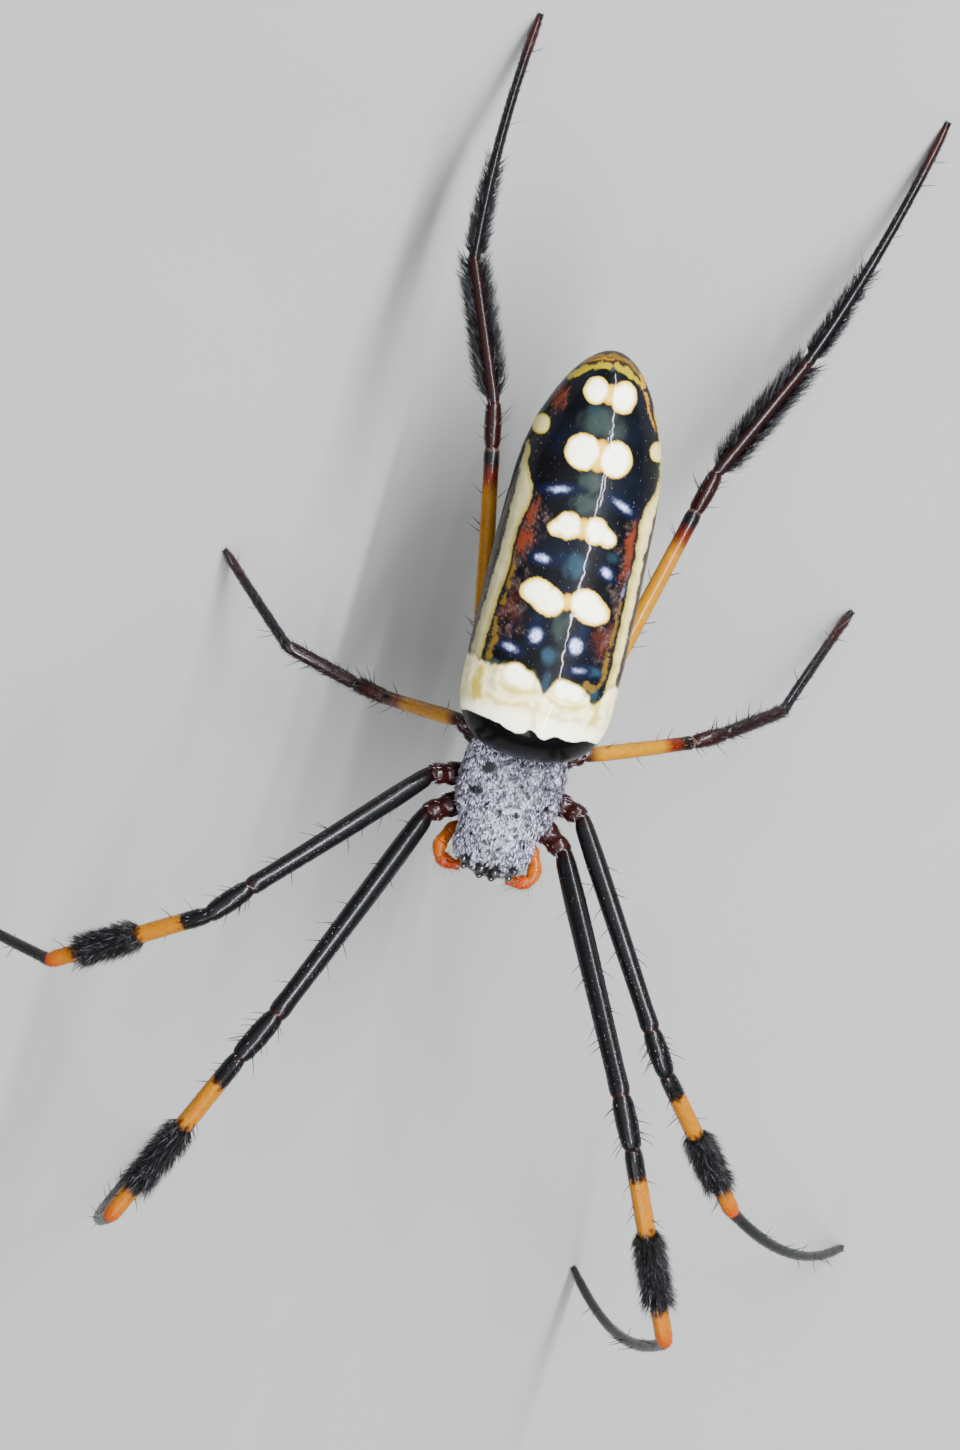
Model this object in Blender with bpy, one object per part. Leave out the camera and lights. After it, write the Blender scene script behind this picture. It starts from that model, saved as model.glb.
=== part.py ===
"""Golden silk orb weaver: a grown female, life size, standing with its front legs stretched ahead.

Units are metres, +Z is up, the head points to -Y and the spinnerets to +Y, and the spider's own left
is +X. The origin is on the floor, under the middle of the whole figure. Lengths below are in
millimetres and angles in degrees, and every shape turns them into metres through MM.
"""
import math
import random

import bmesh
import bpy
from mathutils import Matrix, Vector

MM = 0.001
UP = Vector((0.0, 0.0, 1.0))

# Driving dimensions of the body
BODY_AT = Vector((1.65, -3.65, 12.0))   # the front edge of the abdomen, above the floor
BODY_PITCH = 7.0              # the head is carried a little higher than the rear
PROSOMA_YAW = 3.0             # the head turns a little to the spider's right
PROSOMA_SHIFT = -0.1
PEDICEL_BACK = 1.3            # pedicel behind the front edge of the abdomen
ABDOMEN_LENGTH = 20.2
ABDOMEN_HALF_WIDTH = 3.76
ABDOMEN_SHIFT = -0.17         # it hangs a little to the spider's right
ABDOMEN_RISE = 3.2            # back above the centre line
ABDOMEN_DEPTH = 3.6           # belly below it
ABDOMEN_FRONT = 3.5           # length of the rounded front
ABDOMEN_REAR = 6.9            # length of the tapered rear
FRONT_FULLNESS = 2.6          # above 2 an end is blunter than an ellipse's
REAR_FULLNESS = 1.95
ABDOMEN_SIDES = 24
ABDOMEN_RINGS = 23
RIM_HEIGHT = 0.35             # widest line of the carapace above its underside
CARAPACE_SIDES = 22
CARAPACE_REAR = -1.75         # rear edge of the carapace, ahead of the abdomen's front edge
CARAPACE_STATIONS = (CARAPACE_REAR, -1.6, -1.1, -0.5, 0.2, 0.9, 1.6, 2.2, 2.7, 3.1, 3.6, 4.2, 4.8, 5.2,
                     5.48, 5.66, 5.76)
CARAPACE_FLARE = 0.85         # below 1 its sides stand steeper than an ellipse's
CARAPACE_CROWN = 0.80         # below 1 its back is fuller than an ellipse
CARAPACE_FLOOR = 0.45         # below 1 its underside is flatter than an ellipse
PEDICEL_MEETS = (2.55, 0.10)  # where the pedicel meets the abdomen: behind, above
PEDICEL_RADII = (0.34, 0.30, 0.34)
SPINNERETS_AT = (18.35, -1.13)  # base of the spinnerets: behind, above
SPINNERET_TIP_R = 0.16
SPINNERET_BASE = (0.62, 0.80, 0.70)   # length, radius above, radius below
SPINNERET_PITCH = -60.0       # way that the spinnerets point
SPINNERET_DEPTH = 0.28        # how deep they are rooted in their base
# The two pairs of spinnerets: (beside the midline, behind the cluster's middle, length, root radius)
SPINNERETS = ((0.33, -0.30, 1.10, 0.30), (0.34, 0.28, 1.25, 0.28))
STERNUM_Z = -1.42
STERNUM_HALF_DEPTH = 0.52
STERNUM_SIDES = 12
STERNUM_OUTLINE = ((-1.0, 0.30), (-0.6, 0.55), (0.0, 0.80), (0.8, 0.92), (1.6, 0.85), (2.3, 0.66),
                   (2.9, 0.55), (3.3, 0.34))   # (ahead, half width)
CHELICERA_X = 0.72            # middle of a jaw beside the midline
# A jaw's rings from its root down: (above, ahead, half width, half depth)
CHELICERA_RINGS = ((-0.85, 4.42, 0.50, 0.70), (-1.3, 4.48, 0.56, 0.76), (-2.0, 4.48, 0.55, 0.74),
                   (-2.7, 4.40, 0.48, 0.62), (-3.05, 4.34, 0.34, 0.42))
CHELICERA_SIDES = 10
FANG_PATH = ((0.62, 3.70, -3.10), (0.52, 3.35, -3.25), (0.40, 3.10, -3.05), (0.33, 3.02, -2.70))
FANG_RADII = (0.26, 0.24, 0.18, 0.08)
PALP_PATH = ((1.38, 3.50, -1.35), (1.90, 3.90, -1.15), (2.22, 4.40, -0.95), (2.36, 4.90, -0.88),
             (2.22, 5.35, -0.90), (1.72, 5.58, -1.00), (1.12, 5.56, -1.12))   # (side, ahead, above)
PALP_R = 0.33
PALP_RINGS = 14
# Eyes on the top of the head: (side, ahead, radius); the front pair sits in its face and adds a height
TOP_EYES = {"rear_median": (0.34, 5.40, 0.19), "front_lateral": (1.12, 5.50, 0.17),
            "rear_lateral": (1.26, 5.16, 0.17)}
FACE_EYES = {"front_median": (0.30, 5.70, 0.62, 0.20)}
EYE_SIDES = 8
EYE_SINK = 0.05               # how deep a top eye's middle lies under the shell
SIDES = (("left", 1.0), ("right", -1.0))
NODE_GAP = 0.28               # air between two neighbouring nodes
EYE_GAP = 0.06                # air round an eye in its socket

# Length of each leg segment, by pair of legs; a foot is the metatarsus with the tarsus
FEMUR = {1: 12.7, 2: 10.8, 3: 6.3, 4: 11.8}
PATELLA = {1: 2.6, 2: 2.3, 3: 1.8, 4: 2.15}
TIBIA = {1: 10.7, 2: 8.9, 3: 3.95, 4: 7.2}
FOOT = {1: 16.0, 2: 14.0, 3: 7.4, 4: 14.0}

# Radius of each segment at its middle, by pair of legs
COXA_R = {1: 0.62, 2: 0.60, 3: 0.50, 4: 0.58}
FEMUR_R = {1: 0.54, 2: 0.50, 3: 0.38, 4: 0.42}
PATELLA_R = {1: 0.54, 2: 0.50, 3: 0.38, 4: 0.42}
TIBIA_R = {1: 0.47, 2: 0.45, 3: 0.35, 4: 0.36}
FOOT_R = {1: 0.30, 2: 0.29, 3: 0.26, 4: 0.28}
TARSUS_R = 0.24
CLAW_R = 0.18

# Where a coxa leaves the sternum and where its trochanter ends: (side, ahead, above) of BODY_AT
HIP = {1: (1.40, 2.20, -1.20), 2: (1.75, 1.15, -1.20), 3: (1.60, -0.30, -1.20), 4: (1.25, -1.45, -1.20)}
TROCHANTER = {1: (3.40, 3.60, -0.45), 2: (3.75, 1.75, -0.45), 3: (3.05, -1.10, -0.90),
              4: (2.60, -2.60, -1.25)}

# Pose: (bearing from +X towards +Y, pitch above level) of femur, patella, tibia, and of the foot
# where it starts and where it ends; the foot's pitch is trimmed until its tip stands on the floor
POSE = {
    "left_1": ((-64.0, 31.0), (-64.0, -3.0), (-66.0, -17.0), (-110.0, -64.0), (130.0, -62.0)),
    "right_1": ((-116.5, 25.0), (-119.0, 10.0), (-113.0, -17.0), (-110.0, -80.0), (52.0, -56.0)),
    "left_2": ((-58.5, 18.0), (-57.5, -5.0), (-51.0, -23.0), (-38.0, -42.0), (14.0, -64.0)),
    "right_2": ((-137.8, 22.0), (-134.0, 8.0), (-146.0, -26.0), (178.0, -62.0), (-176.0, -80.0)),
    "left_3": ((15.5, -29.0), (25.0, -22.0), (27.5, -38.0), (64.0, -36.0), (59.0, -44.0)),
    "right_3": ((-173.0, -58.0), (172.0, -26.0), (163.0, 12.0), (140.0, -49.0), (138.0, -56.0)),
    "left_4": ((73.5, -17.0), (73.0, -14.0), (62.0, -17.0), (66.0, -21.0), (76.0, -20.0)),
    "right_4": ((100.5, 0.0), (102.0, 0.0), (110.5, -24.0), (91.5, -37.0), (80.0, -40.0)),
}

# Radius along a leg segment, as (part of its length, share of its radius)
COXA_PROFILE = ((0.0, 0.66), (0.25, 0.95), (0.55, 1.02), (0.68, 0.80), (0.80, 0.95), (1.0, 0.80))
FEMUR_PROFILE = ((0.0, 0.80), (0.05, 0.95), (0.2, 1.04), (0.45, 1.02), (0.7, 0.96), (0.9, 0.92), (0.97, 0.98),
                 (1.0, 0.86))
PATELLA_PROFILE = ((0.0, 0.84), (0.15, 0.98), (0.5, 1.06), (0.85, 0.96), (1.0, 0.82))
TIBIA_PROFILE = ((0.0, 0.84), (0.05, 0.98), (0.42, 1.0), (0.82, 0.95), (0.96, 0.95), (1.0, 0.82))
FEMUR_BOW = 0.018             # upward bow of a femur, as a share of its length
LEG_SIDES = 8
FOOT_RINGS = 14

# A brush of long hair: where it starts and ends as parts of the segment, lock length, rows, locks in a row
BRUSH = {1: (0.40, 0.80, 1.50, 4, 6), 2: (0.40, 0.80, 1.50, 4, 6), 4: (0.08, 0.90, 1.60, 8, 4)}
FOOT_BRUSH = {4: (0.06, 0.34, 1.15, 5, 3)}
BRUSH_GIRTH = {1: 360.0, 2: 360.0, 4: 240.0}   # arc of the leg that carries hair, centred on its underside
LOCK_RINGS = ((0.0, 0.30, 0.25), (0.55, 0.34, 0.24), (1.0, 0.06, 0.05))   # (part of length, half sizes)
LOCK_SEAT = 0.85              # where a lock leaves the leg, as a share of the leg's radius
LOCK_ROOT = 0.20              # depth of a lock's root below that
LOCK_LEAN = 32.0              # slant of a lock from straight out, towards the foot
LOCK_BEND = 34.0              # further slant at its tip
LOCK_STRAY = 0.12             # how far a lock strays from its place in the row, and from the row

# Colours of the photographed animal, roughness and metallic share
LOOKS = {
    "black": ((0.012, 0.011, 0.014), 0.28, 0.0),
    "silver_hair": ((0.62, 0.63, 0.68), 0.50, 0.0),
    "abdomen_skin": ((0.030, 0.028, 0.045), 0.30, 0.0),
    "dark_red": ((0.090, 0.016, 0.012), 0.25, 0.0),
    "orange": ((0.62, 0.20, 0.020), 0.35, 0.0),
    "yellow_orange": ((0.70, 0.30, 0.035), 0.35, 0.0),
    "palp_orange": ((0.78, 0.20, 0.010), 0.35, 0.0),
    "brown": ((0.16, 0.10, 0.060), 0.50, 0.0),
    "eye": ((0.004, 0.004, 0.005), 0.05, 0.0),
}


def clear_scene():
    """Remove whatever the scene holds."""
    for thing in list(bpy.data.objects):
        bpy.data.objects.remove(thing, do_unlink=True)


def make_material(look):
    """The named look as a Principled BSDF material, made once."""
    if look in bpy.data.materials:
        return bpy.data.materials[look]
    colour, roughness, metallic = LOOKS[look]
    material = bpy.data.materials.new(look)
    material.use_nodes = True
    shader = material.node_tree.nodes["Principled BSDF"]
    shader.inputs["Base Color"].default_value = (*colour, 1.0)
    shader.inputs["Roughness"].default_value = roughness
    shader.inputs["Metallic"].default_value = metallic
    return material


def add_object(name, mesh_maker, look):
    """Turn a filled bmesh into a named object with faces pointing out."""
    bmesh.ops.recalc_face_normals(mesh_maker, faces=mesh_maker.faces)
    mesh = bpy.data.meshes.new(name)
    mesh_maker.to_mesh(mesh)
    mesh_maker.free()
    mesh.shade_smooth()
    mesh.materials.append(make_material(look))
    thing = bpy.data.objects.new(name, mesh)
    bpy.context.collection.objects.link(thing)
    return thing


def direction(bearing, pitch):
    """Unit vector for a bearing and a pitch."""
    b, p = math.radians(bearing), math.radians(pitch)
    return Vector((math.cos(b) * math.cos(p), math.sin(b) * math.cos(p), math.sin(p)))


def loft(name, rings, look):
    """Close a stack of equal rings of points, in millimetres, into one body."""
    shape = bmesh.new()
    rows = [[shape.verts.new(point * MM) for point in ring] for ring in rings]
    count = len(rows[0])
    for low, high in zip(rows, rows[1:]):
        for i in range(count):
            j = (i + 1) % count
            shape.faces.new((low[i], low[j], high[j], high[i]))
    shape.faces.new(list(reversed(rows[0])))
    shape.faces.new(rows[-1])
    return add_object(name, shape, look)


def tube_rings(centres, tangents, radii, sides):
    """Rings round a path, carried along it without twist; a radius may be one number or two."""
    side = tangents[0].cross(UP)
    if side.length < 0.01:
        side = Vector((1.0, 0.0, 0.0))
    side = (side - tangents[0] * side.dot(tangents[0])).normalized()
    rings = []
    for k, (centre, tangent, radius) in enumerate(zip(centres, tangents, radii)):
        if k:
            side = tangents[k - 1].rotation_difference(tangent) @ side
            side = (side - tangent * side.dot(tangent)).normalized()
        across, over = radius if isinstance(radius, tuple) else (radius, radius)
        top = side.cross(tangent).normalized()
        ring = []
        for i in range(sides):
            angle = 2.0 * math.pi * (i + 0.5) / sides
            ring.append(centre + side * across * math.cos(angle) + top * over * math.sin(angle))
        rings.append(ring)
    return rings


def ease(low, high, value):
    """0 below low, 1 above high, smooth between."""
    t = min(max((value - low) / (high - low), 0.0), 1.0)
    return t * t * (3.0 - 2.0 * t)


def segment_path(start, end, before, after, stations, bow=0.0):
    """Centres and tangents of a leg segment whose end faces meet its neighbours' along mitred joints."""
    along = (end - start).normalized()
    first = (before + along).normalized() if before else along
    last = (along + after).normalized() if after else along
    a = start + first * (NODE_GAP / 2.0)
    b = end - last * (NODE_GAP / 2.0)
    lift = (UP - along * UP.dot(along)).normalized()
    centres = []
    tangents = []
    for t in stations:
        centres.append(a.lerp(b, t) + lift * bow * math.sin(math.pi * t))
        tangents.append(along.copy())
    tangents[0] = first
    tangents[-1] = last
    return centres, tangents


def prosoma_point(x, ahead, above):
    """A point of the front body: side, distance ahead and height from BODY_AT, all in millimetres."""
    back = Vector((0.0, PEDICEL_BACK, 0.0))
    place = Vector((x, -ahead, above))
    place = Matrix.Rotation(math.radians(-PROSOMA_YAW), 3, "Z") @ (place - back) + back
    place.x += PROSOMA_SHIFT
    return Matrix.Rotation(math.radians(-BODY_PITCH), 3, "X") @ place + BODY_AT


def abdomen_point(x, behind, above):
    """A point of the abdomen: side, distance behind its front edge and height from BODY_AT."""
    place = Vector((x + ABDOMEN_SHIFT, behind, above))
    return Matrix.Rotation(math.radians(-BODY_PITCH), 3, "X") @ place + BODY_AT


def carapace_profile(ahead):
    """Half width, top and bottom of the front body at a distance ahead of BODY_AT."""
    thorax = 2.55 * math.sqrt(max(1.0 - abs((ahead - 0.9) / 2.85) ** 2.6, 0.0))
    head_x = (ahead - 3.2) / 2.56
    head = 1.93 * (1.0 - abs(head_x) ** 4.5) ** 0.5 if abs(head_x) < 1.0 else 0.0
    width = max((thorax ** 6 + head ** 6) ** (1.0 / 6.0), 0.55)
    top = 0.55 + 0.75 * ease(-1.9, 0.4, ahead) + 0.62 * ease(1.2, 3.6, ahead) - 0.85 * ease(4.5, 6.0, ahead)
    bottom = -0.40 - 0.10 * ease(3.0, 4.2, ahead) + 0.25 * ease(5.2, 5.9, ahead)
    return width, top, bottom


def make_carapace():
    """The front body's upper shell: a broad thorax, a neck and a raised head with shallow eye sockets."""
    rings = []
    for ahead in CARAPACE_STATIONS:
        width, top, bottom = carapace_profile(ahead)
        middle = bottom + RIM_HEIGHT
        ring = []
        for i in range(CARAPACE_SIDES):
            angle = 2.0 * math.pi * (i + 0.5) / CARAPACE_SIDES
            c, s = math.cos(angle), math.sin(angle)
            x = width * math.copysign(abs(c) ** CARAPACE_FLARE, c)
            if s > 0.0:
                z = middle + (top - middle) * s ** CARAPACE_CROWN
            else:
                z = middle + (bottom - middle) * abs(s) ** CARAPACE_FLOOR
            ring.append(prosoma_point(x, ahead, z))
        rings.append(ring)
    return loft("carapace", rings, "silver_hair")


def carapace_height(x, ahead):
    """Height of the shell's upper surface over a point."""
    width, top, bottom = carapace_profile(ahead)
    middle = bottom + RIM_HEIGHT
    c = min(abs(x) / width, 0.99) ** (1.0 / CARAPACE_FLARE)
    return middle + (top - middle) * math.sqrt(1.0 - c * c) ** CARAPACE_CROWN


def make_sternum():
    """The heart-shaped plate under the front body, between the coxae, with the lip at its front."""
    rings = []
    for ahead, width in STERNUM_OUTLINE:
        ring = []
        for i in range(STERNUM_SIDES):
            angle = 2.0 * math.pi * (i + 0.5) / STERNUM_SIDES
            above = STERNUM_Z + STERNUM_HALF_DEPTH * math.sin(angle)
            ring.append(prosoma_point(width * math.cos(angle), ahead, above))
        rings.append(ring)
    loft("sternum", rings, "black")


def make_pedicel():
    """The narrow stalk between front body and abdomen."""
    _, top, bottom = carapace_profile(CARAPACE_REAR)
    start = prosoma_point(0.0, CARAPACE_REAR - NODE_GAP, (top + bottom) / 2.0)
    end = abdomen_point(0.0, PEDICEL_MEETS[0], PEDICEL_MEETS[1])
    along = (end - start).normalized()
    into_abdomen = direction(90.0, 40.0)
    centres = [start, start.lerp(end, 0.5), end]
    rings = tube_rings(centres, [along, along, into_abdomen], PEDICEL_RADII, 8)
    loft("pedicel", rings, "dark_red")


def abdomen_profile(behind):
    """Half width, centre height, rise above and depth below it at a distance behind the front edge."""
    width = ABDOMEN_HALF_WIDTH - 0.19 * ((behind - 6.3) / 7.4) ** 2
    front = min(behind / ABDOMEN_FRONT, 1.0)
    rear = min((ABDOMEN_LENGTH - behind) / ABDOMEN_REAR, 1.0)
    shape = ((1.0 - (1.0 - front) ** FRONT_FULLNESS) ** (1.0 / FRONT_FULLNESS)
             * (1.0 - (1.0 - rear) ** REAR_FULLNESS) ** (1.0 / REAR_FULLNESS))
    centre = 2.3 - 0.7 * ease(11.0, ABDOMEN_LENGTH, behind)
    depth = 0.70 + (ABDOMEN_DEPTH - 0.70) * ease(0.6, 5.2, behind)
    return width * shape, centre, ABDOMEN_RISE * shape, depth * shape


def make_abdomen():
    """The long, almost cylindrical abdomen, blunt in front and tapered over its last third."""
    rings = []
    for k in range(ABDOMEN_RINGS):
        turn = math.pi * (k + 0.35) / (ABDOMEN_RINGS - 0.3)
        behind = ABDOMEN_LENGTH * (1.0 - math.cos(turn)) / 2.0
        width, centre, rise, depth = abdomen_profile(behind)
        ring = []
        for i in range(ABDOMEN_SIDES):
            angle = 2.0 * math.pi * (i + 0.5) / ABDOMEN_SIDES
            c, s = math.cos(angle), math.sin(angle)
            ring.append(abdomen_point(width * c, behind, centre + (rise if s > 0.0 else depth) * s))
        rings.append(ring)
    loft("abdomen", rings, "abdomen_skin")


def cut_cone(base, tip, base_radius, tip_radius, sides=8):
    """A closed cone with a flat tip, in millimetres, as a loose mesh object for a union."""
    along = (tip - base).normalized()
    rings = tube_rings([base, base.lerp(tip, 0.6), tip], [along] * 3,
                       (base_radius, 0.5 * (base_radius + tip_radius) * 1.08, tip_radius), sides)
    return loft("cone", rings, "brown")


def keep_largest_surface(thing):
    """Keep only the largest closed surface of an object, by its volume."""
    shape = bmesh.new()
    shape.from_mesh(thing.data)
    left = set(shape.faces)
    best, best_volume = set(), -1.0
    while left:
        island, edge = set(), [next(iter(left))]
        while edge:
            face = edge.pop()
            if face in island:
                continue
            island.add(face)
            for loop_edge in face.edges:
                edge.extend(other for other in loop_edge.link_faces if other not in island)
        left -= island
        volume = abs(sum(face.calc_center_median().dot(face.normal) * face.calc_area() for face in island))
        if volume > best_volume:
            best, best_volume = island, volume
    bmesh.ops.delete(shape, geom=[face for face in shape.faces if face not in best], context="FACES")
    shape.to_mesh(thing.data)
    shape.free()


def fuse(thing, pieces):
    """Join pieces to an object with one union, applied, and remove the pieces."""
    group = bpy.data.collections.new(thing.name + "_pieces")
    for piece in pieces:
        bpy.context.collection.objects.unlink(piece)
        group.objects.link(piece)
    bpy.context.scene.collection.children.link(group)
    union = thing.modifiers.new("union", "BOOLEAN")
    union.operation = "UNION"
    union.operand_type = "COLLECTION"
    union.collection = group
    union.solver = "EXACT"
    fused = bpy.data.meshes.new_from_object(thing.evaluated_get(bpy.context.evaluated_depsgraph_get()))
    thing.modifiers.remove(union)
    thing.data = fused
    for piece in pieces:
        bpy.data.objects.remove(piece, do_unlink=True)
    bpy.data.collections.remove(group)
    keep_largest_surface(thing)


def make_spinnerets():
    """The cluster of short spinnerets on one base, under the abdomen's rear end."""
    base = abdomen_point(0.0, *SPINNERETS_AT)
    axis = direction(90.0, SPINNERET_PITCH)
    rearward = direction(90.0, SPINNERET_PITCH + 90.0)
    length, radius_above, radius_below = SPINNERET_BASE
    body = cut_cone(base, base + axis * length, radius_above, radius_below, 12)
    body.name = "spinnerets"
    pieces = []
    for side in (-1.0, 1.0):
        for spread, back, length, radius in SPINNERETS:
            root = base + axis * SPINNERET_DEPTH + rearward * back + Vector((side * spread, 0.0, 0.0))
            way = (axis + rearward * (0.45 + back) + Vector((side * 0.16, 0.0, 0.0))).normalized()
            pieces.append(cut_cone(root, root + way * length, radius, SPINNERET_TIP_R))
    fuse(body, pieces)


def make_chelicerae():
    """The two stout jaws under the head, each with its folded fang."""
    for side_name, side in SIDES:
        rings = []
        for down, ahead, half_width, half_depth in CHELICERA_RINGS:
            ring = []
            for i in range(CHELICERA_SIDES):
                angle = 2.0 * math.pi * (i + 0.5) / CHELICERA_SIDES
                x = side * CHELICERA_X + half_width * math.cos(angle)
                ring.append(prosoma_point(x, ahead + half_depth * math.sin(angle), down))
            rings.append(ring)
        loft("chelicera_" + side_name, rings, "black")
        path = [prosoma_point(side * x, ahead, above) for x, ahead, above in FANG_PATH]
        last = len(path) - 1
        tangents = [(path[min(k + 1, last)] - path[max(k - 1, 0)]).normalized() for k in range(last + 1)]
        rings = tube_rings(path, tangents, FANG_RADII, 6)
        loft("fang_" + side_name, rings, "dark_red")


def smooth_path(points, count):
    """Evenly spaced points and tangents on a smooth curve through a few given ones."""
    dense = []
    for k in range(len(points) - 1):
        p0 = points[max(k - 1, 0)]
        p1, p2 = points[k], points[k + 1]
        p3 = points[min(k + 2, len(points) - 1)]
        for i in range(16):
            t = i / 16.0
            dense.append(0.5 * (2.0 * p1 + (p2 - p0) * t + (2.0 * p0 - 5.0 * p1 + 4.0 * p2 - p3) * t * t
                                + (3.0 * p1 - p0 - 3.0 * p2 + p3) * t ** 3))
    dense.append(points[-1])
    lengths = [0.0]
    for a, b in zip(dense, dense[1:]):
        lengths.append(lengths[-1] + (b - a).length)
    path = []
    tangents = []
    for k in range(count):
        want = lengths[-1] * k / (count - 1)
        i = min(max(sum(1 for length in lengths if length <= want) - 1, 0), len(dense) - 2)
        part = (want - lengths[i]) / max(lengths[i + 1] - lengths[i], 1e-9)
        path.append(dense[i].lerp(dense[i + 1], part))
        tangents.append((dense[i + 1] - dense[i]).normalized())
    return path, tangents


def make_palps():
    """The two orange palps, which bow out beside the head and fold in under the eyes."""
    for side_name, side in SIDES:
        points = [prosoma_point(side * x, ahead, above) for x, ahead, above in PALP_PATH]
        path, tangents = smooth_path(points, PALP_RINGS)
        radii = []
        for k in range(PALP_RINGS):
            t = k / (PALP_RINGS - 1)
            knots = 0.035 * math.cos(2.0 * math.pi * t * 4.0)
            radii.append(PALP_R + knots - 0.08 * ease(0.8, 1.0, t) - 0.06 * (1.0 - ease(0.0, 0.2, t)))
        loft("palp_" + side_name, tube_rings(path, tangents, radii, 8), "palp_orange")


def make_eyes(carapace):
    """Eight small eyes set in shallow sockets at the front of the head."""
    cutters = []
    places = dict(FACE_EYES)
    for name, (x, ahead, radius) in TOP_EYES.items():
        places[name] = (x, ahead, carapace_height(x, ahead) - EYE_SINK, radius)
    for name, (x, ahead, above, radius) in places.items():
        for side_name, side in SIDES:
            centre = prosoma_point(side * x, ahead, above)
            for look, size in (("eye", radius), ("cutter", radius + EYE_GAP)):
                ball = bmesh.new()
                bmesh.ops.create_uvsphere(ball, u_segments=EYE_SIDES, v_segments=EYE_SIDES // 2 + 1,
                                          radius=size * MM, matrix=Matrix.Translation(centre * MM))
                if look == "eye":
                    add_object("eye_" + name + "_" + side_name, ball, "eye")
                else:
                    cutters.append(add_object("cutter", ball, "eye"))
    for cutter in cutters:
        socket = carapace.modifiers.new("socket", "BOOLEAN")
        socket.operation = "DIFFERENCE"
        socket.object = cutter
        socket.solver = "EXACT"
    cut = bpy.data.meshes.new_from_object(carapace.evaluated_get(bpy.context.evaluated_depsgraph_get()))
    carapace.modifiers.clear()
    carapace.data = cut
    for cutter in cutters:
        bpy.data.objects.remove(cutter, do_unlink=True)
    keep_largest_surface(carapace)


def foot_path(start, first, last, length, count):
    """Centres and tangents of a foot that turns evenly from its first direction to its last one."""
    fine = 60
    place = start.copy()
    path = [place.copy()]
    for k in range(fine):
        t = (k + 0.5) / fine
        place = place + (first * (1.0 - t) + last * t).normalized() * (length / fine)
        path.append(place.copy())
    centres = []
    tangents = []
    for k in range(count):
        at = fine * k / (count - 1)
        i = min(int(at), fine - 1)
        centres.append(path[i].lerp(path[i + 1], at - i))
        tangents.append((path[i + 1] - path[i]).normalized())
    return centres, tangents


def level_foot(start, first, last, length):
    """Trim a foot's pitch until its tip is exactly on the floor."""
    low, high = -30.0, 30.0
    for _ in range(40):
        trim = (low + high) / 2.0
        a = direction(first[0], first[1] + trim)
        b = direction(last[0], last[1] + trim)
        tip = foot_path(start, a, b, length, 2)[0][-1]
        if tip.z > 0.0:
            high = trim
        else:
            low = trim
    return a, b


def hair_lock(root, out, along, length, lean):
    """One flat tapered lock of hair, which leaves the leg at a slant and bends over towards the foot."""
    across = along.cross(out).normalized()
    place = root - out * LOCK_ROOT
    rings = []
    last = 0.0
    for t, width, thickness in LOCK_RINGS:
        angle = math.radians(lean + LOCK_BEND * t)
        way = out * math.cos(angle) + along * math.sin(angle)
        place = place + way * (t - last) * (length + LOCK_ROOT)
        last = t
        flat = across.cross(way)
        corners = ((-width, 0.0), (0.0, -thickness), (width, 0.0), (0.0, thickness))
        rings.append([place + across * x + flat * y for x, y in corners])
    return loft("lock", rings, "black")


def add_brush(segment, centres, tangents, radius, row_size, girth, lock_length, draw):
    """Fuse rows of locks round a leg segment; centres and tangents are those of the rows."""
    rows = len(centres)
    pieces = []
    for row in range(rows):
        along = tangents[row]
        side = along.cross(UP).normalized()
        top = side.cross(along).normalized()
        fullness = 0.80 + 0.20 * math.sin(math.pi * (row + 0.5) / rows)
        for k in range(row_size):
            stagger = 0.25 if row % 2 else -0.25
            turn = (k + 0.5 + stagger + draw.uniform(-LOCK_STRAY, LOCK_STRAY)) / row_size - 0.5
            angle = math.radians(girth * turn - 90.0)
            out = side * math.cos(angle) + top * math.sin(angle)
            length = lock_length * fullness * draw.uniform(0.88, 1.10)
            root = centres[row] + out * radius + along * draw.uniform(-LOCK_STRAY, LOCK_STRAY)
            pieces.append(hair_lock(root, out, along, length, LOCK_LEAN + draw.uniform(-6.0, 6.0)))
    fuse(segment, pieces)


def level_knees(side_name, side, pair):
    """Joints of one leg, from the hip to the tibia's end, and the unit vectors of its segments."""
    hip = prosoma_point(side * HIP[pair][0], HIP[pair][1], HIP[pair][2])
    knee = prosoma_point(side * TROCHANTER[pair][0], TROCHANTER[pair][1], TROCHANTER[pair][2])
    ways = [direction(*angle) for angle in POSE["%s_%d" % (side_name, pair)][:3]]
    joints = [hip, knee]
    for way, lengths in zip(ways, (FEMUR, PATELLA, TIBIA)):
        joints.append(joints[-1] + way * lengths[pair])
    return joints, [(knee - hip).normalized()] + ways


def make_segment(name, ends, ways, profile, radius, bow, look):
    """One leg segment between two joints, with a radius profile of (station, share of the radius)."""
    stations = [station for station, _ in profile]
    centres, tangents = segment_path(ends[0], ends[1], ways[0], ways[1], stations, bow)
    radii = [radius * share for _, share in profile]
    return loft(name, tube_rings(centres, tangents, radii, LEG_SIDES), look)


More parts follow.
